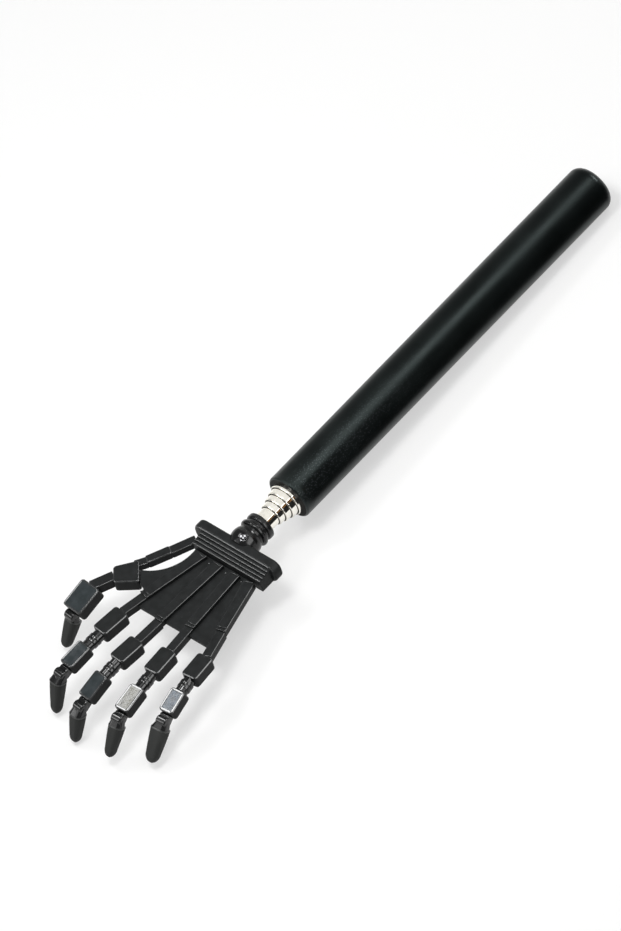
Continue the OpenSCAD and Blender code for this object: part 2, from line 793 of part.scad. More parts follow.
// Centre of the knuckle barrel, between a block's front end and a fingertip's base.
// Its depth is given in shares of the block's height and of the fingertip's height.
barrel_in_block = 0.25;
barrel_in_tip = 0.2;
function barrel_at(front, pitch, top, tip_pitch) =
    (front + barrel_in_block * mid_h * below(pitch) + top + barrel_in_tip * tip_h * below(tip_pitch)) / 2;
function tip_base(top, tip_pitch) = top + tip_h / 2 * below(tip_pitch);

// Bend between a middle block and its fingertip, with the peg that carries the tip
module bend(front, pitch, top, tip_pitch) {
    centre = barrel_at(front, pitch, top, tip_pitch);
    base = tip_base(top, tip_pitch);
    rod(front + mid_h / 2 * below(pitch) - merge * along(pitch), centre, rod_d);
    translate(upright(centre)) rotate([90, 0, 0])
        cylinder(d = barrel_d, h = barrel_w, center = true);
    rod(base - norm(base - centre) * along(tip_pitch), base + tip_peg_len * along(tip_pitch), tip_peg_d);
}

module finger(b, f) {
    color("#121315") at_finger(b) difference() {
        union() {
            cut_block(f[0], block_w, block_h, block_chamfer);
            neck_rear = [f[0] - merge, -block_h / 2];
            neck_front = mid_rear(f) + mid_h / 2 * below(f[3]) + merge * along(f[3]);
            rod(neck_rear, neck_front, rod_d);
            neck_run = (neck_front - neck_rear) / norm(neck_front - neck_rear);
            neck_mid = (neck_rear + neck_front) / 2;
            rod(neck_mid - rod_collar_w / 2 * neck_run, neck_mid + rod_collar_w / 2 * neck_run,
                rod_collar_d);
            translate(upright(mid_rear(f))) rotate([0, f[3], 0])
                cut_block(f[2], mid_w, mid_h, block_chamfer);
            bend(mid_front(f), f[3], tip_top(f), f[7]);
        }
        translate([0, 0, -block_h / 2]) along_x(-open)
            cylinder(d = peg_d + 2 * seat_fit, h = peg_len + seat_fit + open);
        // Room for the end of the link, which meets the block at the strip's own turn
        translate([0, 0, -link_drop - link_h / 2])
            cube([2 * link_w * abs(sin(b[2] - b[4])), 2 * link_w, link_h + 2 * seat_fit], center = true);
    }
}

// Outline that tapers from a base to a round end
module tip_outline(l, w) {
    polygon([
        [0, -w / 2], [l - tip_end_r, -tip_end_r], [l - tip_end_r, tip_end_r], [0, w / 2]
    ]);
    translate([l - tip_end_r, 0]) circle(tip_end_r);
}

// Round taper with a round end, flattened on four sides
module tip_body(l, wider) {
    d = tip_d + wider;
    intersection() {
        linear_extrude(2 * d, center = true) tip_outline(l, tip_w + wider);
        rotate([90, 0, 0]) linear_extrude(2 * d, center = true) tip_outline(l, tip_h);
        along_x() rotate_extrude() intersection() {
            rotate([0, 0, 90]) tip_outline(l, d);
            square([d, l]);
        }
    }
}

// Soft cap of a fingertip, with a rim around its base and a blind bore for the peg
module tip_cap(l, front, pitch, top, tip_pitch, wider = 0) {
    difference() {
        translate(upright(tip_base(top, tip_pitch) + seat_fit * along(tip_pitch)))
            rotate([0, tip_pitch, 0]) difference() {
                translate([0, -wider / 2, 0]) {
                    tip_body(l, wider);
                    rotate([90, 0, 90]) linear_extrude(tip_rim_len)
                        round_rect(tip_w + wider + 2 * tip_rim, tip_h + 2 * tip_rim, tip_end_r);
                }
                along_x(-open) cylinder(d = tip_peg_d + 2 * seat_fit, h = tip_peg_len + open);
            }
        translate(upright(barrel_at(front, pitch, top, tip_pitch))) rotate([90, 0, 0])
            cylinder(d = barrel_d + 2 * seat_fit, h = barrel_w + 2 * seat_fit, center = true);
    }
}

module finger_tip(b, f, wider = 0) {
    color("#2c2e2c") at_finger(b) tip_cap(f[6], mid_front(f), f[3], tip_top(f), f[7], wider);
}

// Root block of the thumb, wider at the rear
module thumb_root_block() {
    translate([thumb_root_rear[0], thumb_root_rear[1], -block_h]) rotate([0, 0, thumb_root_yaw])
        intersection() {
            linear_extrude(block_h) polygon([
                [0, -thumb_root_rear_w / 2], [thumb_root, -thumb_root_front_w / 2],
                [thumb_root, thumb_root_front_w / 2], [0, thumb_root_rear_w / 2]
            ]);
            translate([thumb_root / 2, 0, block_h / 2]) rotate([90, 0, 0])
                linear_extrude(2 * thumb_root_rear_w, center = true)
                    cut_rect(thumb_root, block_h, block_chamfer);
        }
}

module thumb_metacarpal() {
    foot_w = thumb_foot_t;
    translate([thumb_foot_x - foot_w / 2, thumb_start[1] - merge, -link_drop - link_h])
        cube([foot_w, thumb_foot_len + merge - seat_fit, link_h]);
    translate([thumb_foot_x, rib_end_y + thumb_peg_len, thumb_peg_z]) rotate([90, 0, 0])
        cylinder(d = peg_d, h = thumb_peg_len + thumb_foot_len / 2);
    slim_h = link_h - link_drop;
    flat_bar(thumb_start, thumb_link_end + merge * heading(thumb_link_yaw), link_w, slim_h, link_drop);
    translate([thumb_link_end[0], thumb_link_end[1], 0]) rotate([0, 0, thumb_bone_yaw])
        cut_block(thumb_bone, thumb_bone_w, link_h, block_chamfer);
    flat_bar(thumb_bone_end - merge * heading(thumb_bone_yaw),
        thumb_join + link_w / 2 * heading(thumb_root_yaw), thumb_bone_w - link_drop, slim_h, link_drop);
}

module thumb() color("#121315") {
    in_hand() {
        thumb_metacarpal();
        thumb_root_block();
        flat_bar(thumb_root_front - merge * heading(thumb_root_yaw),
            thumb_mid_rear + merge * heading(thumb_yaw), rod_d, rod_d, link_drop);
    }
    at_thumb() {
        rotate([0, thumb_mid_pitch, 0]) cut_block(thumb_mid, thumb_mid_w, thumb_mid_h, block_chamfer);
        bend(thumb_mid_front, thumb_mid_pitch, thumb_tip_top, thumb_tip_pitch);
    }
}

module thumb_tip() color("#2c2e2c") at_thumb()
    tip_cap(thumb_tip_len, thumb_mid_front, thumb_mid_pitch, thumb_tip_top, thumb_tip_pitch);

grip_sleeve();
outer_tube();
rear_plug();
stage_tube(1);  // stage_1_tube
stage_tube(2);  // stage_2_tube
stage_tube(3);  // stage_3_tube
last_tube();  // stage_4_tube
spring_sleeve(1);  // stage_1_sleeve
spring_sleeve(2);  // stage_2_sleeve
spring_sleeve(3);  // stage_3_sleeve
spring_sleeve(4);  // stage_4_sleeve
hand_stud();
neck_socket();
neck_screw();
wrist_bar();
palm_plate();
thumb();
finger(index_base, index_bones);  // index_finger
finger(middle_base, middle_bones);  // middle_finger
finger(ring_base, ring_bones);  // ring_finger
finger(little_base, little_bones);  // little_finger
thumb_tip();
finger_tip(index_base, index_bones);  // index_tip
finger_tip(middle_base, middle_bones);  // middle_tip
finger_tip(ring_base, ring_bones);  // ring_tip
finger_tip(little_base, little_bones, little_tip_wider);  // little_tip
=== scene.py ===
import math

import bmesh
import bpy
from mathutils import Matrix, Vector


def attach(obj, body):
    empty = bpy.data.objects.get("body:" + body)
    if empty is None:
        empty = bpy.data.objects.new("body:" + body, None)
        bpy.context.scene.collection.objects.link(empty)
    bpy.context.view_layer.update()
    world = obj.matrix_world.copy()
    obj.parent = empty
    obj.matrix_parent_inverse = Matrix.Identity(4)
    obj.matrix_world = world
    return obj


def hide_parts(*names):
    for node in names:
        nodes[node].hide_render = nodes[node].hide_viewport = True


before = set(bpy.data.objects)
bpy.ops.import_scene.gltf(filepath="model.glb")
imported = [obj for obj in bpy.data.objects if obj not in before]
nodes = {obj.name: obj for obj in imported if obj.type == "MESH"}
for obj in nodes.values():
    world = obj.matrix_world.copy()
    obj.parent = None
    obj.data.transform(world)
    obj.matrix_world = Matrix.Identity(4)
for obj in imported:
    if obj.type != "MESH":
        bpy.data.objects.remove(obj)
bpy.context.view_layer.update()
mm = 0.001  # the pieces are modelled in millimetres and shrunk when they are finished
print("frame loaded,", len(nodes), "nodes")

# camera: a long lens, so the picture is almost without perspective
cameraView = {
    "right": (-0.6523, 0.7279, -0.2113),
    "up": (-0.6685, -0.4213, 0.6126),
    "shaftX": 90.25,  # a point on the shaft's axis, and the pixel where it shows
    "shaftPixel": (239.7, 547.6),
    "picture": (621, 931),
    "mmPerPixel": 0.2896,
    "lens": 900.0,
    "sensor": 36.0,
    "clip": (1, 40),  # metres
}


def makeCamera(view):
    right = Vector(view["right"]).normalized()
    back = right.cross(Vector(view["up"])).normalized()
    up = back.cross(right)
    wide, high = view["picture"]
    pixel = view["mmPerPixel"] * mm
    aim = Vector((view["shaftX"] * mm, 0, 0))
    aim += right * pixel * (wide / 2 - view["shaftPixel"][0])
    aim += up * pixel * (view["shaftPixel"][1] - high / 2)
    data = bpy.data.cameras.new("studioCamera")
    data.lens = view["lens"]
    data.sensor_width = view["sensor"]
    data.clip_start, data.clip_end = view["clip"]
    camera = bpy.data.objects.new("studioCamera", data)
    turn = Matrix((right, up, back)).transposed().to_4x4()
    distance = pixel * high * view["lens"] / view["sensor"]
    camera.matrix_world = Matrix.Translation(aim + back * distance) @ turn
    bpy.context.scene.collection.objects.link(camera)
    bpy.context.scene.camera = camera


makeCamera(cameraView)
print("camera set")


# shader helpers
mixFirst, mixSecond, mixOut = 6, 7, 2  # the colour sockets of a Mix node


def addNode(tree, kind, place, inputs=None, **settings):
    node = tree.nodes.new("ShaderNode" + kind)
    node.location = place
    for name, value in settings.items():
        setattr(node, name, value)
    for name, value in (inputs or {}).items():
        node.inputs[name].default_value = value
    return node


def wire(tree, *runs):  # each run is a node, its output, the next node and its input
    for source, output, target, entry in runs:
        tree.links.new(source.outputs[output], target.inputs[entry])


def newGroup(name, inputs, outputs):
    group = bpy.data.node_groups.new(name, "ShaderNodeTree")
    group.interface.new_socket("Vector", in_out="INPUT", socket_type="NodeSocketVector")
    for label in inputs:
        group.interface.new_socket(label, in_out="INPUT", socket_type="NodeSocketFloat")
    for label in outputs:
        group.interface.new_socket(label, in_out="OUTPUT", socket_type="NodeSocketFloat")
    start, end = group.nodes.new("NodeGroupInput"), group.nodes.new("NodeGroupOutput")
    start.location, end.location = (-800, 0), (600, 0)
    return group, start, end


# fine grain for bump, and a broad tone for colour and roughness
def makeSurfaceGrain():
    group, start, end = newGroup("surfaceGrain", ["Fine Scale", "Broad Scale"], ["Height", "Tone"])
    fine = addNode(group, "TexNoise", (-500, 200), {"Detail": 4, "Roughness": 0.62})
    broad = addNode(group, "TexNoise", (-500, -150), {"Detail": 3})
    spread = addNode(group, "MapRange", (-200, -150), {"From Min": 0.3, "From Max": 0.7})
    wire(group, (start, "Vector", fine, "Vector"), (start, "Fine Scale", fine, "Scale"),
         (start, "Vector", broad, "Vector"), (start, "Broad Scale", broad, "Scale"),
         (broad, "Fac", spread, "Value"), (fine, "Fac", end, "Height"), (spread, "Result", end, "Tone"))
    return group


# small pale dots, scattered; Amount is the share of cells that hold one
def makeSpecksOfDustAndSparkle():
    group, start, end = newGroup("dustSpecks", ["Scale", "Amount"], ["Mask"])
    cells = addNode(group, "TexVoronoi", (-550, 0))
    split = addNode(group, "SeparateColor", (-300, -120))
    chosen = addNode(group, "Math", (-100, -120), operation="LESS_THAN")
    dot = addNode(group, "MapRange", (-300, 150), {"From Min": 0.42, "From Max": 0.15})
    both = addNode(group, "Math", (150, 0), operation="MULTIPLY")
    wire(group, (start, "Vector", cells, "Vector"), (start, "Scale", cells, "Scale"),
         (cells, "Distance", dot, "Value"), (cells, "Color", split, "Color"), (split, "Red", chosen, 0),
         (start, "Amount", chosen, 1), (dot, "Result", both, 0), (chosen, 0, both, 1), (both, 0, end, "Mask"))
    return group


surfaceGrain = makeSurfaceGrain()
dustSpecks = makeSpecksOfDustAndSparkle()


# pale specks on one side of a piece, thicker towards the front; the grain rises with it. On the grip they lie on
# the highlight band: partly dust, partly painted sparkle of the highlight
def addSpecks(tree, coords, tone, grain, specks):
    dots = addNode(tree, "Group", (-650, 550), {"Scale": specks["scale"], "Amount": specks["amount"]},
                   node_tree=dustSpecks)
    split = addNode(tree, "SeparateXYZ", (-650, 800))
    zone = addNode(tree, "MapRange", (-350, 800), {
        "From Min": specks["fromX"] * mm, "From Max": specks["toX"] * mm, "To Min": specks["least"]})
    upper = addNode(tree, "VectorMath", (-650, 1050), {1: specks["side"]}, operation="DOT_PRODUCT")
    lying = addNode(tree, "MapRange", (-350, 1050), {
        "From Min": specks["fromSide"] * mm, "From Max": specks["toSide"] * mm})
    speckedPart = addNode(tree, "Math", (-100, 900), operation="MULTIPLY")
    share = addNode(tree, "Math", (-100, 650), operation="MULTIPLY")
    speckedTone = addNode(tree, "Mix", (150, 400), {mixSecond: (*specks["colour"], 1)}, data_type="RGBA")
    rising = addNode(tree, "Math", (0, -350), operation="MULTIPLY")
    wire(tree, (coords, "Object", dots, "Vector"), (coords, "Object", split, "Vector"),
         (split, "X", zone, "Value"), (coords, "Object", upper, 0), (upper, "Value", lying, "Value"),
         (zone, "Result", speckedPart, 0), (lying, "Result", speckedPart, 1), (dots, "Mask", share, 0),
         (speckedPart, 0, share, 1), (share, 0, speckedTone, 0), (tone, mixOut, speckedTone, mixFirst),
         (grain, "Height", rising, 0), (zone, "Result", rising, 1))
    return (speckedTone, mixOut), (rising, 0)


def makeFinish(name, look):
    finish = bpy.data.materials.new(name)
    finish.use_nodes = True
    tree = finish.node_tree
    tree.nodes.clear()
    output = addNode(tree, "OutputMaterial", (900, 0))
    shader = addNode(tree, "BsdfPrincipled", (600, 0), {
        "Metallic": look.get("metal", 0.0), "Specular IOR Level": look.get("specular", 0.5),
        "Specular Tint": (*look.get("tint", (1, 1, 1)), 1)})
    coords = addNode(tree, "TexCoord", (-1100, 0))
    stretch = addNode(tree, "Mapping", (-900, 0), {"Scale": look.get("stretch", (1, 1, 1))})
    grain = addNode(tree, "Group", (-650, 0), {
        "Fine Scale": look["grain"][0], "Broad Scale": look["grain"][1]}, node_tree=surfaceGrain)
    tone = addNode(tree, "Mix", (-350, 250), {
        mixFirst: (*look["dark"], 1), mixSecond: (*look["pale"], 1)}, data_type="RGBA")
    rough = addNode(tree, "MapRange", (-350, -50), {
        "To Min": look["rough"][0], "To Max": look["rough"][1]})
    bump = addNode(tree, "Bump", (250, -350), {
        "Strength": look["bump"][0], "Distance": look["bump"][1] * mm})
    colour, height = (tone, mixOut), (grain, "Height")
    if "specks" in look:
        colour, height = addSpecks(tree, coords, tone, grain, look["specks"])
    wire(tree, (coords, "Object", stretch, "Vector"), (stretch, "Vector", grain, "Vector"),
         (grain, "Tone", tone, 0), (grain, "Tone", rough, "Value"), (*colour, shader, "Base Color"),
         (*height, bump, "Height"), (rough, "Result", shader, "Roughness"), (bump, "Normal", shader, "Normal"),
         (shader, "BSDF", output, "Surface"))
    return finish


# rough: least and most; grain: fine and broad scale; bump: strength, and depth in mm
finishLooks = {
    "gripRubber": {
        "dark": (0.0012, 0.0016, 0.0016), "pale": (0.0026, 0.0034, 0.0034), "rough": (0.31, 0.40),
        "specular": 0.3, "tint": (0.82, 1.0, 0.98), "grain": (1300, 70), "bump": (0.2, 0.14),
        # the grip's pale specks sit on the side where the highlight band falls: dust and painted sparkle
        "specks": {"scale": 1800, "amount": 0.85, "colour": (0.034, 0.038, 0.041), "fromX": 5, "toX": 60,
                   "least": 0.05, "side": (0, 0.64, 0.77), "fromSide": 5.4, "toSide": 7.1},
    },
    "gripEnd": {
        "dark": (0.0010, 0.0013, 0.0013), "pale": (0.0020, 0.0026, 0.0026), "rough": (0.45, 0.55),
        "specular": 0.06, "grain": (1300, 70), "bump": (0.1, 0.1),
    },
    "tubeChrome": {
        "dark": (0.85, 0.82, 0.75), "pale": (0.92, 0.90, 0.84), "rough": (0.04, 0.09), "metal": 1.0,
        "grain": (2600, 500), "bump": (0.03, 0.05), "stretch": (1, 0.03, 0.03),
    },
    # painted shade: the dark line in the gap at each tube's mouth
    "mouthShade": {
        "dark": (0.030, 0.026, 0.020), "pale": (0.070, 0.062, 0.048), "rough": (0.30, 0.45), "metal": 0.6,
        "grain": (2600, 700), "bump": (0.05, 0.04),
    },
    "handBlack": {
        "dark": (0.0155, 0.0165, 0.0165), "pale": (0.0215, 0.0228, 0.0230), "rough": (0.30, 0.38),
        "specular": 0.07, "grain": (1300, 420), "bump": (0.12, 0.10),
        "specks": {"scale": 1500, "amount": 0.03, "colour": (0.030, 0.032, 0.034),
                   "fromX": 60, "toX": 88, "least": 0.2, "side": (0, 0, 1), "fromSide": -9, "toSide": 0},
    },
    # lighter, glossier edge finish: partly wear, partly painted highlight
    "edgeWearAndHighlight": {
        "dark": (0.016, 0.017, 0.017), "pale": (0.034, 0.036, 0.037), "rough": (0.13, 0.22),
        "specular": 0.8, "grain": (1500, 420), "bump": (0.06, 0.05),
    },
    # lighter border finish: partly polish, partly painted highlight
    "rimPolishAndHighlight": {
        "dark": (0.030, 0.033, 0.034), "pale": (0.042, 0.045, 0.046), "rough": (0.04, 0.08),
        "specular": 0.9, "grain": (1500, 420), "bump": (0.03, 0.05),
    },
    # the panels are one glossy finish in three copies; their tints, blue-grey on thumb, index and middle, pearl
    # on ring and blue on little, are painted reflection
    "panelDimPaintedReflection": {
        "dark": (0.024, 0.030, 0.032), "pale": (0.038, 0.046, 0.050), "rough": (0.05, 0.11),
        "specular": 0.55, "grain": (1000, 420), "bump": (0.16, 0.08),
    },
    "panelPearlPaintedReflection": {
        "dark": (0.016, 0.018, 0.012), "pale": (0.125, 0.122, 0.094), "rough": (0.06, 0.24),
        "specular": 0.48, "grain": (450, 900), "bump": (0.30, 0.30),
    },
    "panelBluePaintedReflection": {
        "dark": (0.010, 0.020, 0.032), "pale": (0.085, 0.112, 0.142), "rough": (0.06, 0.18),
        "specular": 0.26, "grain": (450, 900), "bump": (0.30, 0.30),
    },
    "knuckleGloss": {
        "dark": (0.0045, 0.0048, 0.0050), "pale": (0.0085, 0.0088, 0.0090), "rough": (0.09, 0.17),
        "specular": 0.5, "grain": (650, 220), "bump": (0.06, 0.10),
    },
    "neckGloss": {
        "dark": (0.0050, 0.0053, 0.0055), "pale": (0.0085, 0.0088, 0.0090), "rough": (0.15, 0.22),
        "specular": 0.35, "grain": (900, 260), "bump": (0.05, 0.10),
    },
    "tipRubber": {
        "dark": (0.0180, 0.0192, 0.0182), "pale": (0.0270, 0.0284, 0.0272), "rough": (0.58, 0.74),
        "specular": 0.25, "grain": (1900, 180), "bump": (0.30, 0.12),
    },
    # lighter lip finish: the cap's moulded lip with a painted highlight line
    "tipLipHighlight": {
        "dark": (0.022, 0.024, 0.023), "pale": (0.034, 0.036, 0.035), "rough": (0.26, 0.40),
        "specular": 0.5, "grain": (1500, 300), "bump": (0.10, 0.06),
    },
    "screwSteel": {
        "dark": (0.030, 0.030, 0.031), "pale": (0.060, 0.060, 0.062), "rough": (0.14, 0.22), "metal": 1.0,
        "grain": (2200, 600), "bump": (0.06, 0.04),
    },
    "sleeveBronze": {
        "dark": (0.42, 0.25, 0.10), "pale": (0.60, 0.40, 0.18), "rough": (0.22, 0.36), "metal": 1.0,
        "grain": (2000, 260), "bump": (0.08, 0.05), "stretch": (1, 0.05, 0.05),
    },
    "plugPlastic": {
        "dark": (0.030, 0.030, 0.033), "pale": (0.050, 0.050, 0.055), "rough": (0.48, 0.62),
        "grain": (1400, 200), "bump": (0.15, 0.08),
    },
    "studBrass": {
        "dark": (0.50, 0.36, 0.15), "pale": (0.68, 0.52, 0.26), "rough": (0.18, 0.30), "metal": 1.0,
        "grain": (2400, 300), "bump": (0.08, 0.05), "stretch": (1, 0.04, 0.04),
    },
}
finishes = {name: makeFinish(name, look) for name, look in finishLooks.items()}
print("finishes made:", ", ".join(finishes))


# modelling helpers; a shell is one closed surface, and a piece is one or more of them
handFinishes = ["handBlack", "edgeWearAndHighlight", "knuckleGloss", "rimPolishAndHighlight"]  # each finger adds its own panel
edgeSlot, knuckleSlot, rimSlot, panelSlot = 1, 2, 3, 4
anyEdge, bentEdge, squareEdge = 25, 40, 60  # an edge is softened from this angle on, in degrees
facesUp, liesFlat = 0.2, 0.99  # least Z of a normal that looks up, and of a flat top's
near, weld = 0.01, 0.0005  # mm: finds faces and edges by place, and joins points
hair = 0.03  # mm: keeps faces that would touch apart


def bevel(shell, geom, width, steps, affect="EDGES"):
    return bmesh.ops.bevel(shell, geom=geom, offset=width, offset_type="OFFSET", segments=steps, profile=0.5,
                           affect=affect, clamp_overlap=True, material=-1)["faces"]


def softenEdges(shell, width, steps=2, degrees=anyEdge, finish=0):
    sharp = [e for e in shell.edges
             if len(e.link_faces) == 2 and e.calc_face_angle(0) > math.radians(degrees)]
    for face in bevel(shell, sharp, width, steps):  # only the upper edges get the lighter edge finish: partly wear, partly painted highlight
        face.normal_update()
        face.material_index = finish if face.normal.z > facesUp else 0


def closeShell(shell):
    bmesh.ops.remove_doubles(shell, verts=shell.verts, dist=weld)
    rims = [e for e in shell.edges if len(e.link_faces) == 1]
    if rims:
        bmesh.ops.holes_fill(shell, edges=rims)
    bmesh.ops.recalc_face_normals(shell, faces=shell.faces)


def paint(faces, slot):
    for face in faces:
        face.material_index = slot


def addShell(piece, shell, place):
    bmesh.ops.transform(shell, matrix=place, verts=shell.verts)
    temp = bpy.data.meshes.new("temp")
    shell.to_mesh(temp)
    shell.free()
    piece.from_mesh(temp)
    bpy.data.meshes.remove(temp)


def spin(shell, geom, axis, angle, steps, merge=False):
    bmesh.ops.spin(shell, geom=geom, cent=(0, 0, 0), axis=axis, dvec=(0, 0, 0), angle=angle, steps=steps,
                   use_merge=merge)


# profile points are (x, radius); a profile that comes back to its start is a wall
def latheShell(profile, steps, soft=0.0, softSteps=2):
    shell = bmesh.new()
    points = [shell.verts.new((x, 0, r)) for x, r in profile]
    lines = [shell.edges.new(pair) for pair in zip(points, points[1:])]
    spin(shell, points + lines, (1, 0, 0), math.tau, steps, merge=True)
    closeShell(shell)
    if soft:
        softenEdges(shell, soft, softSteps)
    return shell


def rodShell(start, end, radius, *roundness):
    return latheShell([(start, 0), (start, radius), (end, radius), (end, 0)], *roundness)


# box with its rear face at x = 0 and its top at z = 0; taper narrows the front end
def blockShell(length, width, height, chamfer, soft, taper=1.0, corner=0.0):
    shell = bmesh.new()
    bmesh.ops.create_cube(shell, size=1)
    bmesh.ops.scale(shell, vec=(length, width, height), verts=shell.verts)
    bmesh.ops.translate(shell, vec=(length / 2, 0, -height / 2), verts=shell.verts)
    front = [v for v in shell.verts if v.co.x > length / 2]
    bmesh.ops.scale(shell, vec=(1, taper, 1), verts=front)
    if corner:
        posts = [e for e in shell.edges if abs(e.verts[0].co.z - e.verts[1].co.z) > height / 2]
        bevel(shell, posts, corner, steps=3)
    if chamfer:
        softenEdges(shell, chamfer, 1, squareEdge, edgeSlot)
    softenEdges(shell, soft, 2, bentEdge, edgeSlot)
    return shell


# polished face let into the top of a block, inside a narrow border; the border's lighter colour is partly a
# painted highlight
def letInPanel(shell, border, deep):
    top = max((f for f in shell.faces if f.normal.z > liesFlat), key=lambda f: f.calc_area())
    rim = bmesh.ops.inset_region(shell, faces=[top], thickness=border, depth=0, use_even_offset=True)
    paint(rim["faces"], rimSlot)
    bmesh.ops.inset_region(shell, faces=[top], thickness=deep, depth=-deep, use_even_offset=True)
    top.material_index = panelSlot


# face with round corners, facing +X, to be extruded along X
def roundFace(width, height, radius, steps):
    shell = bmesh.new()
    bmesh.ops.create_grid(shell, x_segments=1, y_segments=1, size=0.5)
    bmesh.ops.scale(shell, vec=(width, height, 1), verts=shell.verts)
    bevel(shell, shell.verts[:], radius, steps, "VERTICES")
    turn = Matrix(((0, 0, 1, 0), (1, 0, 0, 0), (0, 1, 0, 0), (0, 0, 0, 1)))
    bmesh.ops.transform(shell, matrix=turn, verts=shell.verts)
    return shell


def only(kind, made):
    return [g for g in made if isinstance(g, kind)]


def extrudeFace(shell, face, move, wide=1.0, high=1.0):
    made = bmesh.ops.extrude_face_region(shell, geom=[face])["geom"]
    front = only(bmesh.types.BMVert, made)
    bmesh.ops.translate(shell, vec=move, verts=front)
    bmesh.ops.scale(shell, vec=(1, wide, high), verts=front)
    return only(bmesh.types.BMFace, made)[0]


# flat outline seen from above, from z = low up to z = high
def plateShell(outline, low, high, soft, finish=0):
    shell = bmesh.new()
    base = shell.faces.new([shell.verts.new((x, y, low)) for x, y in outline])
    extrudeFace(shell, base, (0, 0, high - low))
    closeShell(shell)
    softenEdges(shell, soft, 2, anyEdge, finish)
    return shell


def turned(degrees, axis):
    return Matrix.Rotation(math.radians(degrees), 4, axis)


def standing(x, y, z=0.0, yaw=0.0, pitch=0.0):
    return Matrix.Translation((x, y, z)) @ turned(yaw, "Z") @ turned(pitch, "Y")


def newObject(name, shell, looks):
    mesh = bpy.data.meshes.new(name)
    shell.to_mesh(mesh)
    shell.free()
    for look in looks:
        mesh.materials.append(look)
    made = bpy.data.objects.new(name, mesh)
    bpy.context.scene.collection.objects.link(made)
    return made


def makePiece(name, shells, looks, body, stands, sharp=50):
    bmesh.ops.scale(shells, vec=(mm, mm, mm), verts=shells.verts)
    piece = newObject(name, shells, [finishes[look] for look in looks])
    piece.data.shade_smooth()
    piece.data.set_sharp_from_angle(angle=math.radians(sharp))
    evenNormals = piece.modifiers.new("evenNormals", "WEIGHTED_NORMAL")
    evenNormals.keep_sharp = True
    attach(piece, body)
    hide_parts(stands)


# grip: a rubber sleeve with a closed, rounded rear end
grip = {
    "rear": -68.75, "front": 68.75, "radius": 7.55, "boreRadius": 5.63, "endThick": 3.0,
    "rearRound": 3.1, "frontRound": 0.7, "stationStep": 20, "stations": 6, "steps": 96,
}


def quarter(x, r, radius, first, last, steps=8):
    turns = [math.radians(first + (last - first) * k / steps) for k in range(steps + 1)]
    return [(x + radius * math.cos(t), r + radius * math.sin(t)) for t in turns]


def makeGrip():
    g = grip
    rear, front, radius = g["rear"], g["front"], g["radius"]
    bore, bottom = g["boreRadius"], rear + g["endThick"]
    profile = [(rear, 0)] + quarter(rear + g["rearRound"], radius - g["rearRound"], g["rearRound"], 180, 90)
    profile += [(rear + g["stationStep"] * k, radius) for k in range(1, g["stations"] + 1)]
    profile += quarter(front - g["frontRound"], radius - g["frontRound"], g["frontRound"], 90, 0)
    profile += [(front, bore), (bottom, bore), (bottom, 0)]
    sleeve = latheShell(profile, g["steps"])  # its front end is dull
    paint([side for side in sleeve.faces if side.calc_center_median().x > front - near], 1)
    makePiece("gripSleeve", sleeve, ["gripRubber", "gripEnd"], "handle", "grip_sleeve")


makeGrip()
print("grip made")

# telescope: tubes with rolled mouths, each one thinner than the one before it
telescope = {
    "outerRadius": 5.6, "wall": 0.4, "gap": 0.2, "lipFit": 0.05, "lipLen": 1.0, "fixedRear": -64.75,
    "slidingRear": -59.45, "firstMouth": 70.05, "ringStep": 2.1, "count": 4, "lastShow": 3.7,
    "sleeveFrom": 2.1, "sleeveRoom": 18.1, "grooveDeep": 0.15, "seatInNeck": 3.0,
    "paintedShadePart": 1.0, "facesFront": 0.02, "rollSteps": 10, "steps": 96, "sharp": 40,
}


def tubeRadius(n):
    return telescope["outerRadius"] - n * (telescope["wall"] + telescope["gap"])


def sleeveGroove(n):
    t = telescope
    start = t["slidingRear"] + t["sleeveFrom"]
    floor = tubeRadius(n) - t["grooveDeep"]
    return [(start, tubeRadius(n)), (start, floor), (start + t["sleeveRoom"], floor),
            (start + t["sleeveRoom"], tubeRadius(n))]


def makeTube(n, name, body, stands):
    t = telescope
    outside = tubeRadius(n)
    inside = outside - t["wall"]
    rear = t["fixedRear"] if n == 0 else t["slidingRear"]
    front = t["firstMouth"] + n * t["ringStep"]
    profile = [(rear, inside), (rear, outside)] + (sleeveGroove(n) if n else [])
    if n < t["count"]:
        mouth = tubeRadius(n + 1) + t["lipFit"]
        roll = (outside - mouth) / 2
        profile += quarter(front - roll, mouth + roll, roll, 90, -90, t["rollSteps"])
        profile += [(front - t["lipLen"], mouth), (front - t["lipLen"] - inside + mouth, inside)]
    else:
        front += t["lastShow"] - t["ringStep"] + t["seatInNeck"]
        profile += [(front, outside), (front, inside)]
    profile.append(profile[0])
    piece = latheShell(profile, t["steps"])
    if n < t["count"]:  # the inner half of a rolled mouth is painted dark: painted shade of the gap round the next tube
        piece.normal_update()
        for face in piece.faces:
            middle = face.calc_center_median()
            inner = math.hypot(middle.y, middle.z) < mouth + roll * t["paintedShadePart"]
            if inner and face.normal.x > t["facesFront"] and middle.x > front - roll - near:
                face.material_index = 1
    makePiece(name, piece, ["tubeChrome", "mouthShade"], body, stands, t["sharp"])


makeTube(0, "outerTube", "handle", "outer_tube")
for n in range(1, telescope["count"] + 1):  # the last tube is fixed in the hand
    makeTube(n, f"stage{n}Tube", f"stage_{n}" if n < telescope["count"] else "hand", f"stage_{n}_tube")
print("tubes made")

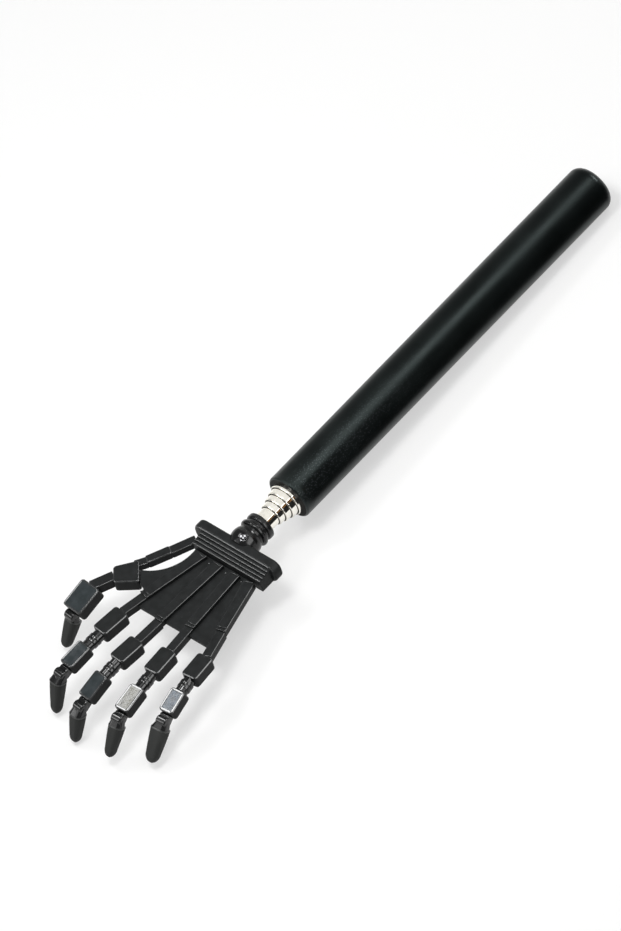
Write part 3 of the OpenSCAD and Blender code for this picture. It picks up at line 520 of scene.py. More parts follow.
# neck: two rings and a ball, seated on the last tube
neck = {
    "x": 80.05, "length": 9.1, "ballRadius": 4.85, "ballBack": 1.5, "ballIn": 1.8,
    "flangeLen": 2.0, "flangeRadius": 4.65, "grooveLen": 0.9, "grooveRadius": 4.05,
    "collarLen": 1.5, "collarRadius": 4.85, "rimRound": 0.55,
    "tubeBore": 3.23, "tubeDeep": 3.0, "studBore": 2.23,
    "rimSteps": 5, "ballSteps": 20, "steps": 80, "sharp": 40,
}


def ringProfile(x, length, radius):
    rim, steps = neck["rimRound"], neck["rimSteps"]
    return (quarter(x + rim, radius - rim, rim, 180, 90, steps)
            + quarter(x + length - rim, radius - rim, rim, 90, 0, steps))


def makeNeck():
    k = neck
    x, groove = k["x"], k["grooveRadius"]
    flangeEnd, tubeEnd, front = x + k["flangeLen"], x + k["tubeDeep"], x + k["length"] + k["ballIn"]
    collarX = flangeEnd + k["grooveLen"]
    grooveX = collarX + k["collarLen"]
    ballStart = grooveX + k["grooveLen"]
    ballX = x + k["length"] - k["ballBack"]
    ballFirst, ballLast = (math.degrees(math.acos((at - ballX) / k["ballRadius"])) for at in (ballStart, front))
    profile = [(x, k["tubeBore"])] + ringProfile(x, k["flangeLen"], k["flangeRadius"])
    profile += [(flangeEnd, groove), (collarX, groove)] + ringProfile(collarX, k["collarLen"], k["collarRadius"])
    profile += [(grooveX, groove), (ballStart, groove)]
    profile += quarter(ballX, 0, k["ballRadius"], ballFirst, ballLast, k["ballSteps"])
    profile += [(front, k["studBore"]), (tubeEnd, k["studBore"]), (tubeEnd, k["tubeBore"]), (x, k["tubeBore"])]
    piece = latheShell(profile, k["steps"])
    makePiece("neckSocket", piece, ["neckGloss"], "hand", "neck_socket", k["sharp"])


makeNeck()

# neck screw: a low round head with a cross recess
screw = {
    "ballX": 87.65, "lean": 17, "turn": 20, "top": 4.97, "headRadius": 1.1, "headHigh": 0.7,
    "shankRadius": 0.7, "shankEnd": 2.67, "shankIn": 0.15, "armLong": 1.76, "armWide": 0.5, "armDeep": 0.42,
    "rimDrop": 0.12, "crossTurn": 45, "soft": 0.05, "shankSteps": 24, "sharp": 35,
}


def makeScrew():
    s = screw
    shell = bmesh.new()
    half, arm, wide = s["headRadius"] / math.sqrt(2), s["armLong"] / 2, s["armWide"] / 2
    steps = [-half, -arm, -wide, wide, arm, half]
    cells = len(steps) - 1
    bmesh.ops.create_grid(shell, x_segments=cells, y_segments=cells, size=half)
    for axis in (0, 1):  # the grid's lines move to the sides of the cross
        rows = sorted({round(v.co[axis], 4) for v in shell.verts})
        for v in shell.verts:
            v.co[axis] = steps[min(range(len(steps)), key=lambda i: abs(rows[i] - v.co[axis]))]
    rim = [v for v in shell.verts if v.is_boundary]
    for v in rim:  # the outer square becomes the head's round rim
        v.co = v.co.normalized() * s["headRadius"]
    cross = []
    for f in shell.faces:
        out = [abs(v) for v in f.calc_center_median().xy]
        if min(out) < wide and max(out) < arm:
            cross.append(f)
    made = bmesh.ops.extrude_face_region(shell, geom=cross)["geom"]
    bmesh.ops.translate(shell, vec=(0, 0, -s["armDeep"]), verts=only(bmesh.types.BMVert, made))
    edge = [e for e in shell.edges if e.is_boundary]
    for drop in (s["rimDrop"], s["headHigh"] - s["rimDrop"]):
        made = bmesh.ops.extrude_edge_only(shell, edges=edge)["geom"]
        bmesh.ops.translate(shell, vec=(0, 0, -drop), verts=only(bmesh.types.BMVert, made))
        edge = only(bmesh.types.BMEdge, made)
    bmesh.ops.translate(shell, vec=(0, 0, s["top"]), verts=shell.verts)
    closeShell(shell)
    softenEdges(shell, s["soft"], 2, bentEdge)
    shankTop = s["top"] - s["headHigh"] + s["shankIn"]
    shank = rodShell(s["shankEnd"], shankTop, s["shankRadius"], s["shankSteps"])
    place = standing(s["ballX"], 0) @ turned(-s["turn"], "X") @ turned(s["lean"], "Y")
    piece = bmesh.new()
    addShell(piece, shell, place @ turned(s["crossTurn"], "Z"))
    addShell(piece, shank, place @ turned(-90, "Y"))
    makePiece("neckScrew", piece, ["screwSteel"], "hand", "neck_screw", s["sharp"])


makeScrew()
print("neck made")

# wrist bar: a rounded cross bar with a ribbed block in front of it
handX = 89.15
wristBar = {
    "length": 32.2, "thick": 3.5, "high": 6.8, "lift": -0.6, "endRound": 2.8, "edgeRound": 0.85,
    "ribLen": 26.8, "ribShift": 1.3, "ribCount": 4, "ribPitch": 1.15, "ribDrop": 0.3,
    "grooveWide": 0.4, "grooveDeep": 0.5, "ribChamfer": 0.2, "floor": -3.2, "ribSoft": 0.05, "endSoft": 0.5,
    "endSteps": 8, "edgeSteps": 4, "softSteps": 3, "rubbedAndLit": 0.45,
    "corner": 1.0,  # radians
}
ribFront = wristBar["thick"] + wristBar["ribCount"] * wristBar["ribPitch"]


def makeWristBar():
    w = wristBar
    bar = roundFace(w["length"], w["high"], w["endRound"], w["endSteps"])
    bmesh.ops.translate(bar, vec=(0, 0, w["lift"]), verts=bar.verts)
    extrudeFace(bar, bar.faces[:][0], (w["thick"], 0, 0))
    closeShell(bar)
    softenEdges(bar, w["edgeRound"], w["edgeSteps"], squareEdge)
    barTop = w["lift"] + w["high"] / 2
    inside = w["thick"] / 2
    steps = [(inside, w["floor"]), (inside, barTop - w["ribDrop"] - w["grooveDeep"])]
    for k in range(w["ribCount"]):
        x = w["thick"] + k * w["ribPitch"]
        z = barTop - (k + 1) * w["ribDrop"]
        end = x + w["ribPitch"]
        steps += [(x, z - w["grooveDeep"]), (x + w["grooveWide"], z - w["grooveDeep"]),
                  (x + w["grooveWide"], z), (end - w["ribChamfer"], z), (end, z - w["ribChamfer"])]
    steps.append((ribFront, w["floor"]))
    ribs = bmesh.new()
    side = ribs.faces.new([ribs.verts.new((x, w["ribShift"] - w["ribLen"] / 2, z)) for x, z in steps])
    extrudeFace(ribs, side, (0, w["ribLen"], 0))
    closeShell(ribs)
    outer = [e for e in ribs.edges
             if all(v.co.z < w["floor"] + near or v.co.x > ribFront - near for v in e.verts)
             and e.calc_face_angle(0) > w["corner"]]
    bevel(ribs, outer, w["endSoft"], w["softSteps"])
    softenEdges(ribs, w["ribSoft"], 2, squareEdge)
    for shell in (bar, ribs):  # edges that look up and forward get the lighter edge finish: partly wear, partly painted highlight
        shell.normal_update()
        for face in shell.faces:
            if min(face.normal.x, face.normal.z) > w["rubbedAndLit"]:
                face.material_index = edgeSlot
    piece = bmesh.new()
    addShell(piece, bar, standing(handX, 0))
    addShell(piece, ribs, standing(handX, 0))
    makePiece("wristBar", piece, handFinishes[:2], "hand", "wrist_bar")


makeWristBar()
print("wrist bar made")

# fingers: each one's strip on the palm, then its chain of bones; lengths in mm, turns in degrees
fingers = {
    "index": {"y": -8.1, "strip": 22.0, "stripYaw": -12.5, "link": 7.7, "yaw": -5.5, "block": 9.4, "neck": 5.6,
              "mid": 8.5, "midPitch": 9.0, "bend": 6.4, "bendPitch": 27.0, "tip": 12.0, "tipPitch": 69.5,
              "panel": "panelDimPaintedReflection"},
    "middle": {"y": -1.6, "strip": 26.0, "stripYaw": -3.0, "link": 8.6, "yaw": -5.0, "block": 8.8, "neck": 5.9,
               "mid": 8.7, "midPitch": 18.5, "bend": 6.4, "bendPitch": 33.0, "tip": 10.1, "tipPitch": 67.0,
               "panel": "panelDimPaintedReflection"},
    "ring": {"y": 5.0, "strip": 22.9, "stripYaw": 3.8, "link": 9.3, "yaw": 3.0, "block": 9.0, "neck": 5.9,
             "mid": 8.8, "midPitch": 8.5, "bend": 5.4, "bendPitch": 34.0, "tip": 10.0, "tipPitch": 49.5,
             "panel": "panelPearlPaintedReflection", "border": 0.45},
    "little": {"y": 10.6, "strip": 19.6, "stripYaw": 14.8, "link": 9.3, "yaw": 4.5, "block": 8.6, "neck": 4.9,
               "mid": 7.7, "midPitch": 15.0, "bend": 5.4, "bendPitch": 35.0, "tip": 10.8, "tipPitch": 45.0,
               "panel": "panelBluePaintedReflection", "border": 0.5, "tipWider": 0.9},
}
thumb = {
    "footX": 5.4, "footLen": 1.6, "footThick": 3.0, "link": 8.0, "linkYaw": -27.0,
    "bone": 7.7, "boneYaw": -28.0, "boneWide": 3.0, "boneCorner": 0.6, "neck": 2.2, "shift": 3.1,
    "root": 7.8, "rootYaw": -48.0, "rootRear": 8.0, "rootFront": 6.0, "rod": 7.0, "rodWide": 3.4,
    "rodYaw": -27.5, "mid": 9.4, "midWide": 7.4, "midHigh": 4.4, "yaw": -5.0, "midPitch": 16.5, "bend": 3.8,
    "bendPitch": 60.0, "tip": 9.4, "tipPitch": 54.0, "panel": "panelDimPaintedReflection",
}
palm = {
    "stripX": ribFront + hair, "webFront": ribFront + 24.8, "webTop": -1.4, "floor": -2.5, "tongue": 3.0,
    "stripWide": 3.1, "stripFlare": 0.6, "stripGap": 0.55, "endBevel": 0.15, "beadAt": 0.9,
    "ridgeWide": 0.45, "ridgeHigh": 0.36, "ridgePitch": 1.1, "ridgeInset": 0.1, "ridgeSunk": 0.2,
    "ridgeSoft": 0.1, "wingTop": -0.8, "wingSag": 3.0, "wingInset": 0.6, "wingGap": 0.12, "wingOut": 0.125,
    "wingIn": 0.48, "wingOnStrip": 0.94, "wingSteps": 20, "linkWide": 2.9, "linkHigh": 2.8, "linkDrop": 0.4,
    "soft": 0.2, "apart": 0.05,  # keeps the faces of shells that overlap a hair apart
}
bones = {
    "blockWide": 5.4, "blockHigh": 4.3, "midWide": 5.0, "midHigh": 4.1, "chamfer": 0.26, "soft": 0.06,
    "corner": 0.9, "border": 0.28, "panelDeep": 0.04, "lap": 0.2,
    "rodRadius": 1.9, "collarRadius": 2.12, "collarWide": 2.4, "grooveDeep": 0.12, "grooveHalf": 0.15,
    "rodSoft": 0.1, "rodSteps": 36, "barrelRadius": 1.6, "barrelWide": 3.6, "barrelRound": 0.5,
    "barrelSteps": 40, "barrelInBlock": 0.3, "barrelInTip": 0.25, "hingeWide": 3.4, "hingeHigh": 3.1,
    "hingeChamfer": 0.4, "hingeSoft": 0.1, "hingeDrop": 0.8, "hingePast": 0.6, "hoodRear": 3.7, "hoodHigh": 3.3,
    "hoodCorner": 1.1, "hoodFront": 4.55, "hoodFrontHigh": 3.6, "hoodLift": 0.3, "roundSteps": 5,
    "pegRadius": 1.1, "pegIn": 0.6, "pegSoft": 0.05, "pegSteps": 32,
}
fingerTip = {
    "wide": 4.7, "high": 4.2, "endWide": 3.5, "endHigh": 3.3, "endFrom": 0.7, "corner": 1.6, "cornerSteps": 7,
    "rimLen": 0.5, "rim": 0.06, "rimEdge": 0.1, "ease": 1.3, "taperSteps": 8, "endSteps": 9, "endTurn": 9.4,
    "sharp": 60,
}


def heading(turn):
    return Vector((math.cos(math.radians(turn)), math.sin(math.radians(turn))))


def aside(yaw):
    return heading(yaw + 90)


# directions in a finger's own upright plane, as (forward, up), for a pitch down
def along(pitch):
    return heading(-pitch)


def below(pitch):
    return heading(-pitch - 90)


def onHand(point, z=0.0, yaw=0.0):
    return standing(handX + point.x, point.y, z, yaw)


def onStrip(f, distance):
    return Vector((palm["stripX"], f["y"])) + distance * heading(f["stripYaw"])


def linkEnd(f):
    return onStrip(f, f["strip"] + f["link"])


# thumb's chain, seen from above
ribEndY = wristBar["ribShift"] - wristBar["ribLen"] / 2
thumbStart = Vector((thumb["footX"], ribEndY - thumb["footLen"]))
thumbLinkEnd = thumbStart + thumb["link"] * heading(thumb["linkYaw"])
thumbBoneEnd = thumbLinkEnd + thumb["bone"] * heading(thumb["boneYaw"])
thumbJoin = thumbBoneEnd + thumb["neck"] * heading(thumb["boneYaw"])
thumbRootRear = thumbJoin + thumb["shift"] * aside(thumb["rootYaw"])
thumbRootFront = thumbRootRear + thumb["root"] * heading(thumb["rootYaw"])
thumbMidRear = thumbRootFront + thumb["rod"] * heading(thumb["rodYaw"])


# bar of square section between two points seen from above
def flatBar(piece, start, end, width, height):
    run = end - start
    shell = blockShell(run.length, width, height, 0, palm["soft"])
    yaw = math.degrees(math.atan2(run.y, run.x))
    addShell(piece, shell, onHand(start, -palm["linkDrop"], yaw))


def addStrip(piece, f):
    p = palm
    rear, front = (p["stripWide"] + p["stripFlare"]) / 2, p["stripWide"] / 2
    outline = [(-rear, -rear), (f["strip"], -front), (f["strip"], front), (-rear, rear)]
    shell = plateShell(outline, p["floor"] + p["apart"], 0, p["soft"], edgeSlot)
    bmesh.ops.transform(shell, matrix=standing(p["stripX"], f["y"], 0, f["stripYaw"]), verts=shell.verts)
    everything = shell.verts[:] + shell.edges[:] + shell.faces[:]
    start = p["stripX"] + p["stripGap"]
    bmesh.ops.bisect_plane(shell, geom=everything, plane_co=(start, 0, 0), plane_no=(1, 0, 0), clear_inner=True)
    closeShell(shell)
    lip = [e for e in shell.edges if all(abs(v.co.x - start) < near and v.co.z > -2 * near for v in e.verts)]
    # the rear lip's bevel takes the lighter edge finish: partly wear, partly painted highlight line
    paint(bevel(shell, lip, p["endBevel"], steps=2), edgeSlot)
    addShell(piece, shell, standing(handX, 0))
    beads = [p["beadAt"], f["strip"] - p["ridgeWide"] - p["ridgePitch"], f["strip"] - p["ridgeWide"]]
    for distance in beads:  # low ridges: one at the rear end, two across the knuckle
        ridge = blockShell(p["ridgeWide"], p["stripWide"] - p["ridgeInset"], p["ridgeHigh"] + p["ridgeSunk"], 0,
                           p["ridgeSoft"])
        addShell(piece, ridge, onHand(onStrip(f, distance), p["ridgeHigh"], f["stripYaw"]))
    flatBar(piece, onStrip(f, f["strip"] - bones["lap"]), linkEnd(f), p["linkWide"], p["linkHigh"])


def addWing(piece):
    p = palm
    rear = Vector((p["stripX"], ribEndY + p["wingInset"]))
    edge = thumbRootRear - p["wingGap"] * heading(thumb["rootYaw"])
    tip = edge - p["wingOut"] * thumb["rootRear"] * aside(thumb["rootYaw"])
    corner = edge + p["wingIn"] * thumb["rootRear"] * aside(thumb["rootYaw"])
    chord = tip - rear
    radius = chord.length ** 2 / (8 * p["wingSag"]) + p["wingSag"] / 2
    turn = math.degrees(math.atan2(chord.y, chord.x))
    centre = (rear + tip) / 2 - (radius - p["wingSag"]) * aside(turn)
    half, steps = math.degrees(math.asin(chord.length / 2 / radius)), p["wingSteps"]
    arc = [centre + radius * heading(turn + 90 + half * (1 - 2 * k / steps)) for k in range(steps + 1)]
    others = [corner, onStrip(fingers["index"], p["wingOnStrip"] * fingers["index"]["strip"]),
              onStrip(fingers["index"], 0)]
    outline = [tuple(v) for v in arc + others]
    wing = plateShell(outline, p["floor"] + 2 * p["apart"], p["wingTop"], p["soft"])
    addShell(piece, wing, standing(handX, 0))


def stripY(f, x):
    return f["y"] + (x - palm["stripX"]) * math.tan(math.radians(f["stripYaw"]))


# small round rivets on the web, close to the ribbed block; shoulder and crown are shares of the dome's size
rivets = {
    "x": 1.5, "radius": 0.42, "high": 0.22, "sunk": 0.1, "shoulder": 0.9, "shoulderHigh": 0.5, "crown": 0.45,
    "soft": 0.05, "steps": 20,
}


def addRivet(piece, x, y):
    r = rivets
    dome = latheShell([(-r["sunk"], 0), (-r["sunk"], r["radius"]),
                       (r["high"] * r["shoulderHigh"], r["radius"] * r["shoulder"]),
                       (r["high"], r["radius"] * r["crown"]), (r["high"], 0)], r["steps"], r["soft"])
    # the domes take the lighter edge finish: partly wear, partly painted highlight
    paint(dome.faces, edgeSlot)
    addShell(piece, dome, standing(handX + x, y, palm["webTop"], 0, -90))


def makePalm():
    p = palm
    first, last = fingers["index"], fingers["little"]
    tongueX = ribFront - p["tongue"]
    web = [(tongueX, first["y"]), (p["stripX"], first["y"]), (p["webFront"], stripY(first, p["webFront"])),
           (p["webFront"], stripY(last, p["webFront"])), (p["stripX"], last["y"]), (tongueX, last["y"])]
    piece = bmesh.new()
    addShell(piece, plateShell(web, p["floor"], p["webTop"], p["soft"]), standing(handX, 0))
    addWing(piece)
    for f in fingers.values():
        addStrip(piece, f)
    for a, b in (("index", "middle"), ("middle", "ring"), ("ring", "little")):
        addRivet(piece, p["stripX"] + rivets["x"], (fingers[a]["y"] + fingers[b]["y"]) / 2)
    makePiece("palmPlate", piece, handFinishes[:2], "hand", "palm_plate")


makePalm()
print("palm made")


# from one point to another in a finger's own upright plane
def between(start, end):
    run = Vector((end.x - start.x, 0, end.y - start.y))
    return Matrix.Translation((start.x, 0, start.y)) @ run.to_track_quat("X", "Z").to_matrix().to_4x4()


# bend behind a fingertip: a hinge bar, a round barrel across it, a hood that widens to the tip and lies flat
# on it, and the peg that the tip sits on
def addBend(piece, place, f, midFront, tipTop):
    b, midPitch, tipPitch, wider = bones, f["midPitch"], f["tipPitch"], f.get("tipWider", 0.0)
    base = tipTop + fingerTip["high"] / 2 * below(tipPitch)
    centre = (midFront + b["barrelInBlock"] * b["midHigh"] * below(midPitch)
              + tipTop + b["barrelInTip"] * fingerTip["high"] * below(tipPitch)) / 2
    start = midFront + b["midHigh"] / 2 * below(midPitch) - b["lap"] * along(midPitch)
    turn = centre + b["hingeDrop"] * below((midPitch + tipPitch) / 2)
    bar = blockShell((turn - start).length + b["hingePast"], b["hingeWide"], b["hingeHigh"], b["hingeChamfer"],
                     b["hingeSoft"])
    addShell(piece, bar, place @ between(start, turn) @ standing(0, 0, b["hingeHigh"] / 2))
    half = b["barrelWide"] / 2
    barrel = rodShell(-half, half, b["barrelRadius"], b["barrelSteps"], b["barrelRound"], b["roundSteps"])
    addShell(piece, barrel, place @ standing(centre.x, 0, centre.y, 90))
    seat = base + b["lap"] * along(tipPitch)
    run, widen = seat - turn, (b["hoodFront"] + wider) / b["hoodRear"]
    hood = roundFace(b["hoodRear"], b["hoodHigh"], b["hoodCorner"], b["roundSteps"])
    front = extrudeFace(hood, hood.faces[:][0], (run.length, -wider / 2 / widen, 0), widen,
                        b["hoodFrontHigh"] / b["hoodHigh"])
    meet = math.radians(tipPitch) + math.atan2(run.y, run.x)
    bmesh.ops.rotate(hood, cent=(run.length, -wider / 2, 0), matrix=Matrix.Rotation(meet, 3, "Y"),
                     verts=front.verts)
    closeShell(hood)
    addShell(piece, hood, place @ between(turn, seat) @ standing(0, 0, b["hoodLift"]))
    rear = base - (base - centre).length * along(tipPitch)
    end = base + b["pegIn"] * along(tipPitch)
    peg = rodShell(0, (end - rear).length, b["pegRadius"], b["pegSteps"], b["pegSoft"])
    addShell(piece, peg, place @ between(rear, end))


def addMidBlock(piece, place, length, width, height, border):
    shell = blockShell(length, width, height, bones["chamfer"], bones["soft"], corner=bones["corner"])
    letInPanel(shell, border, bones["panelDeep"])
    addShell(piece, shell, place)


def makeFinger(name, f):
    b = bones
    place = onHand(linkEnd(f), 0, f["yaw"])
    piece = bmesh.new()
    block = blockShell(f["block"], b["blockWide"], b["blockHigh"], b["chamfer"], b["soft"], corner=b["corner"])
    addShell(piece, block, place)
    midRear = Vector((f["block"], 0)) + f["neck"] * along(f["midPitch"] / 2)
    midFront = midRear + f["mid"] * along(f["midPitch"])
    tipTop = midFront + f["bend"] * along(f["bendPitch"])
    addMidBlock(piece, place @ standing(midRear.x, 0, midRear.y, 0, f["midPitch"]), f["mid"], b["midWide"],
                b["midHigh"], f.get("border", b["border"]))
    glossFrom = len(piece.faces)
    start = Vector((f["block"] - b["lap"], -b["blockHigh"] / 2))
    stop = midRear + b["midHigh"] / 2 * below(f["midPitch"]) + b["lap"] * along(f["midPitch"])
    long = (stop - start).length
    r, c, deep = b["rodRadius"], b["collarRadius"], b["collarRadius"] - b["grooveDeep"]
    half, groove = b["collarWide"] / 2, b["grooveHalf"]
    collar = [(-half, r), (-half, c), (-groove, c), (-groove, deep), (groove, deep), (groove, c), (half, c),
              (half, r)]
    profile = [(0, 0), (0, r)] + [(long / 2 + x, radius) for x, radius in collar] + [(long, r), (long, 0)]
    rod = latheShell(profile, b["rodSteps"], b["rodSoft"])
    addShell(piece, rod, place @ between(start, stop))
    addBend(piece, place, f, midFront, tipTop)
    paint(piece.faces[:][glossFrom:], knuckleSlot)
    makePiece(f"{name}Finger", piece, handFinishes + [f["panel"]], "hand", f"{name}_finger")
    makeTip(f"{name}Tip", place, f, tipTop, f"{name}_tip")


# soft cap of a fingertip: a rim, a taper and a round end, drawn out of one face
def makeTip(name, place, f, tipTop, stands):
    t, length, pitch, wider = fingerTip, f["tip"], f["tipPitch"], f.get("tipWider", 0.0)
    base = tipTop + t["high"] / 2 * below(pitch) + hair * along(pitch)
    fullWide, fullHigh = (t["wide"] + wider) / 2, t["high"] / 2
    endWide, endHigh = (t["endWide"] + wider) / 2, t["endHigh"] / 2
    wide, high, x = fullWide + t["rim"], fullHigh + t["rim"], 0.0
    shell = roundFace(2 * wide, 2 * high, t["corner"], t["cornerSteps"])
    face = shell.faces[:][0]
    stations = [(t["rimEdge"], wide, high), (t["rimLen"] - t["rimEdge"], wide, high),
                (t["rimLen"], fullWide, fullHigh)]
    taper = (length - t["rimLen"]) * t["endFrom"]
    for k in range(1, t["taperSteps"] + 1):  # slims slowly at first, then faster
        part = (k / t["taperSteps"]) ** t["ease"]
        stations.append((t["rimLen"] + taper * k / t["taperSteps"], fullWide + (endWide - fullWide) * part,
                         fullHigh + (endHigh - fullHigh) * part))
    rest = length - t["rimLen"] - taper
    for k in range(1, t["endSteps"] + 1):
        turn = math.radians(t["endTurn"] * k)
        stations.append((length - rest + rest * math.sin(turn), endWide * math.cos(turn),
                         endHigh * math.cos(turn)))
    for toX, toWide, toHigh in stations:
        face = extrudeFace(shell, face, (toX - x, 0, 0), toWide / wide, toHigh / high)
        x, wide, high = toX, toWide, toHigh
    closeShell(shell)
    # the rim band takes the lighter lip finish: the cap's moulded lip with a painted highlight
    paint([side for side in shell.faces if side.calc_center_median().x < t["rimLen"]], 1)
    piece = bmesh.new()
    addShell(piece, shell, place @ standing(base.x, -wider / 2, base.y, 0, pitch))
    makePiece(name, piece, ["tipRubber", "tipLipHighlight"], "hand", stands, t["sharp"])


for name, f in fingers.items():
    makeFinger(name, f)
print("fingers made")


def makeThumb():
    t, b, p = thumb, bones, palm
    piece = bmesh.new()
    foot = blockShell(t["footLen"] + b["lap"], t["footThick"], p["linkHigh"], 0, p["soft"])
    addShell(piece, foot, standing(handX + t["footX"], thumbStart.y - b["lap"], -p["linkDrop"] - p["apart"], 90))
    slimHigh = p["linkHigh"] - p["linkDrop"]
    flatBar(piece, thumbStart, thumbLinkEnd + b["lap"] * heading(t["linkYaw"]), p["linkWide"], slimHigh)
    bone = blockShell(t["bone"], t["boneWide"], p["linkHigh"] + p["apart"], b["chamfer"], b["soft"],
                      corner=t["boneCorner"])
    addShell(piece, bone, onHand(thumbLinkEnd, 0, t["boneYaw"]))
    flatBar(piece, thumbBoneEnd - b["lap"] * heading(t["boneYaw"]),
            thumbJoin + p["linkWide"] / 2 * heading(t["rootYaw"]), t["boneWide"] - p["linkDrop"], slimHigh)
    root = blockShell(t["root"], t["rootRear"], b["blockHigh"], b["chamfer"], b["soft"],
                      t["rootFront"] / t["rootRear"], b["corner"])
    addShell(piece, root, onHand(thumbRootRear, 0, t["rootYaw"]))
    flatBar(piece, thumbRootFront - b["lap"] * heading(t["rootYaw"]),
            thumbMidRear + b["lap"] * heading(t["yaw"]), t["rodWide"], t["rodWide"])
    place = onHand(thumbMidRear, 0, t["yaw"])
    addMidBlock(piece, place @ standing(0, 0, 0, 0, t["midPitch"]), t["mid"], t["midWide"], t["midHigh"],
                b["border"])
    midFront = t["mid"] * along(t["midPitch"])
    tipTop = midFront + t["bend"] * along(t["bendPitch"])
    glossFrom = len(piece.faces)
    addBend(piece, place, t, midFront, tipTop)
    paint(piece.faces[:][glossFrom:], knuckleSlot)
    makePiece("thumbBones", piece, handFinishes + [t["panel"]], "hand", "thumb")
    makeTip("thumbTip", place, t, tipTop, "thumb_tip")


makeThumb()
print("thumb made")

# inner pieces keep their CAD shapes and get their finishes
innerFinishes = {"rear_plug": "plugPlastic", "hand_stud": "studBrass"}
innerFinishes.update({f"stage_{n}_sleeve": "sleeveBronze" for n in range(1, telescope["count"] + 1)})
for node, look in innerFinishes.items():
    for slot in nodes[node].material_slots:
        slot.material = finishes[look]
print("inner pieces finished")

# studio: a pale floor under the grip's end and the fingertips, soft lamps, cards and a dim room
studio = {
    "floorColour": (0.38, 0.38, 0.377), "floorSize": 16000, "floorPoint": (-66.0, -7.6), "floorSlope": -2.65,
    "floorRough": 0.9, "floorGloss": 0.1, "floorGlow": 0.56, "zenith": 0.16, "horizon": 0.36, "zenithFrom": 0.85,
    "cardRough": 0.8, "cardSteps": 32,
    "lamps": {
        "keyBox": {"at": (200, 120, 880), "aim": (40, 0, 0), "size": (800, 800), "watts": 3.0},
        "topBox": {"at": (206, 62, 600), "aim": (89, 0, 0), "size": (150, 150), "watts": 1.6},
        "fillBox": {"at": (750, -350, 550), "aim": (40, 0, 0), "size": (500, 500), "watts": 1.0},
        "gripStrip": {"at": (-190, 110, 500), "aim": (6, 0, 0), "size": (240, 170), "watts": 0.5},
        "blockPanel": {"at": (135, -220, 400), "aim": (146, 13, 0), "size": (160, 85), "watts": 0.52},
    },
    "glints": {  # lamps that only show in reflections
        "sideStrip": {"at": (75, 114, 81), "aim": (125, 0, 0), "size": (160, 80), "watts": 0.18},
        "rearBox": {"at": (-372, 40, 188), "aim": (88, 0, 0), "size": (120, 70), "watts": 0.45},
        "frontStrip": {"at": (467, -243, 161), "aim": (125, 0, 0), "size": (250, 120), "watts": 0.4},
    },
    "cards": {  # arcs round the shaft; angles from straight up towards +Y
        "gripCard": {"x": (-110, 64), "radius": 14, "angles": (36, 116), "colour": (0.003, 0.003, 0.003)},
        "tubeCard": {"x": (57, 74), "radius": 32, "angles": (62, 104), "colour": (0.003, 0.003, 0.003)},
        "amberCard": {"x": (57, 74), "radius": 32, "angles": (46, 62), "colour": (0.50, 0.24, 0.07)},
        "creamCard": {"x": (57, 74), "radius": 32, "angles": (-128, 44), "colour": (0.9, 0.9, 0.86),
                      "glow": 0.62},
    },
}


def aimed(at, aim):
    run = Vector(at) - Vector(aim)
    return Matrix.Translation(Vector(at) * mm) @ run.to_track_quat("Z", "Y").to_matrix().to_4x4()


def paperFinish(name, colour, rough, glow=0.0):
    finish = bpy.data.materials.new(name)
    finish.use_nodes = True
    paper = finish.node_tree.nodes["Principled BSDF"]
    paper.inputs["Base Color"].default_value = (*colour, 1)
    paper.inputs["Roughness"].default_value = rough
    paper.inputs["Emission Color"].default_value = (1, 1, 1, 1)
    paper.inputs["Emission Strength"].default_value = glow
    return finish


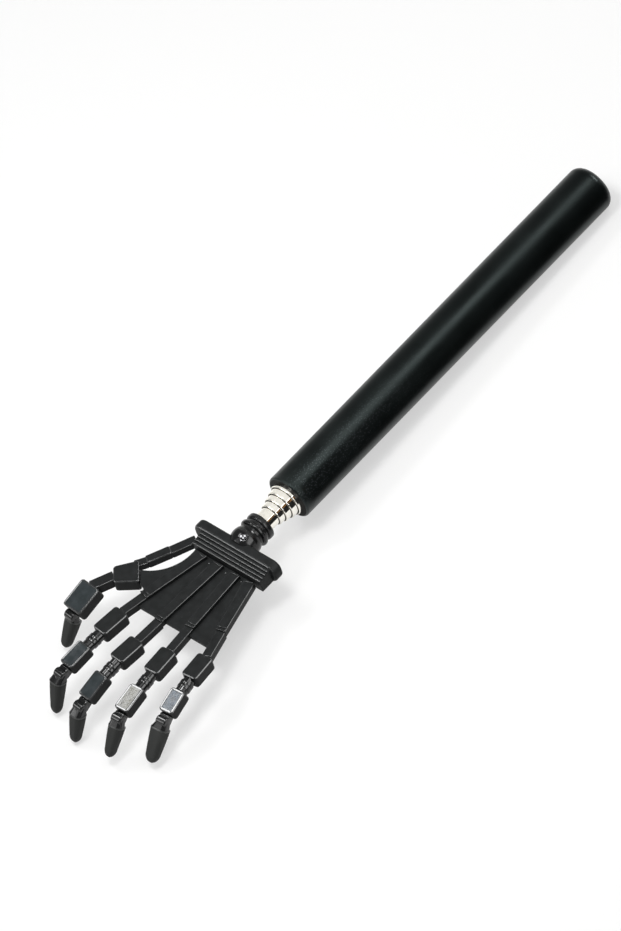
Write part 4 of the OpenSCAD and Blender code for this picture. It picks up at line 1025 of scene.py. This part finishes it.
def makeFloor():
    s = studio
    shell = bmesh.new()
    bmesh.ops.create_grid(shell, x_segments=1, y_segments=1, size=s["floorSize"] / 2 * mm)
    x, z = s["floorPoint"]
    bmesh.ops.transform(shell, matrix=standing(x * mm, 0, z * mm, 0, -s["floorSlope"]), verts=shell.verts)
    finish = paperFinish("palePaper", s["floorColour"], s["floorRough"])
    tree = finish.node_tree
    paper = tree.nodes["Principled BSDF"]
    paper.inputs["Specular IOR Level"].default_value = s["floorGloss"]
    rays = addNode(tree, "LightPath", (-600, -500))  # a little glow, so the paper shows white
    seen = addNode(tree, "Math", (-400, -500), operation="MAXIMUM")
    shown = addNode(tree, "Math", (-200, -500), operation="MAXIMUM")
    glow = addNode(tree, "Math", (0, -500), {1: s["floorGlow"]}, operation="MULTIPLY")
    wire(tree, (rays, "Is Camera Ray", seen, 0), (rays, "Is Glossy Ray", seen, 1), (seen, 0, shown, 0),
         (rays, "Is Transmission Ray", shown, 1), (shown, 0, glow, 0), (glow, 0, paper, "Emission Strength"))
    floor = newObject("paleFloor", shell, [finish])


def makeLamps():
    for name, lamp in (studio["lamps"] | studio["glints"]).items():
        data = bpy.data.lights.new(name, "AREA")
        data.shape = "RECTANGLE"
        data.size, data.size_y = lamp["size"][0] * mm, lamp["size"][1] * mm
        data.energy = lamp["watts"]
        light = bpy.data.objects.new(name, data)
        light.matrix_world = aimed(lamp["at"], lamp["aim"])
        light.visible_camera = False
        light.visible_diffuse = name in studio["lamps"]
        bpy.context.scene.collection.objects.link(light)


def makeCards():  # small cards that only show in reflections on the shaft
    for name, card in studio["cards"].items():
        shell = bmesh.new()
        first, last = (math.radians(a) for a in card["angles"])
        rear, front = (Vector((x, math.sin(first) * card["radius"], math.cos(first) * card["radius"])) * mm
                       for x in card["x"])
        ends = [shell.verts.new(rear), shell.verts.new(front)]
        spin(shell, ends + [shell.edges.new(ends)], (-1, 0, 0), last - first, studio["cardSteps"])
        finish = paperFinish(name, card["colour"], studio["cardRough"], card.get("glow", 0))
        stand = newObject(name, shell, [finish])
        stand.visible_camera = stand.visible_shadow = stand.visible_diffuse = False


def makeWorld():
    world = bpy.data.worlds.new("room")
    bpy.context.scene.world = world
    world.use_nodes = True
    tree = world.node_tree
    tree.nodes.clear()
    coords = addNode(tree, "TexCoord", (-700, 0))
    split = addNode(tree, "SeparateXYZ", (-500, 0))
    height = addNode(tree, "MapRange", (-300, 0), {
        "From Min": 0.0, "From Max": studio["zenithFrom"],
        "To Min": studio["horizon"], "To Max": studio["zenith"]})
    sky = addNode(tree, "Background", (0, 0), {"Color": (1, 1, 1, 1)})
    output = addNode(tree, "OutputWorld", (200, 0))
    wire(tree, (coords, "Generated", split, "Vector"), (split, "Z", height, "Value"),
         (height, "Result", sky, "Strength"), (sky, "Background", output, "Surface"))


makeFloor()
makeLamps()
makeCards()
makeWorld()
bpy.context.scene.view_settings.view_transform = "Standard"
print("studio set")
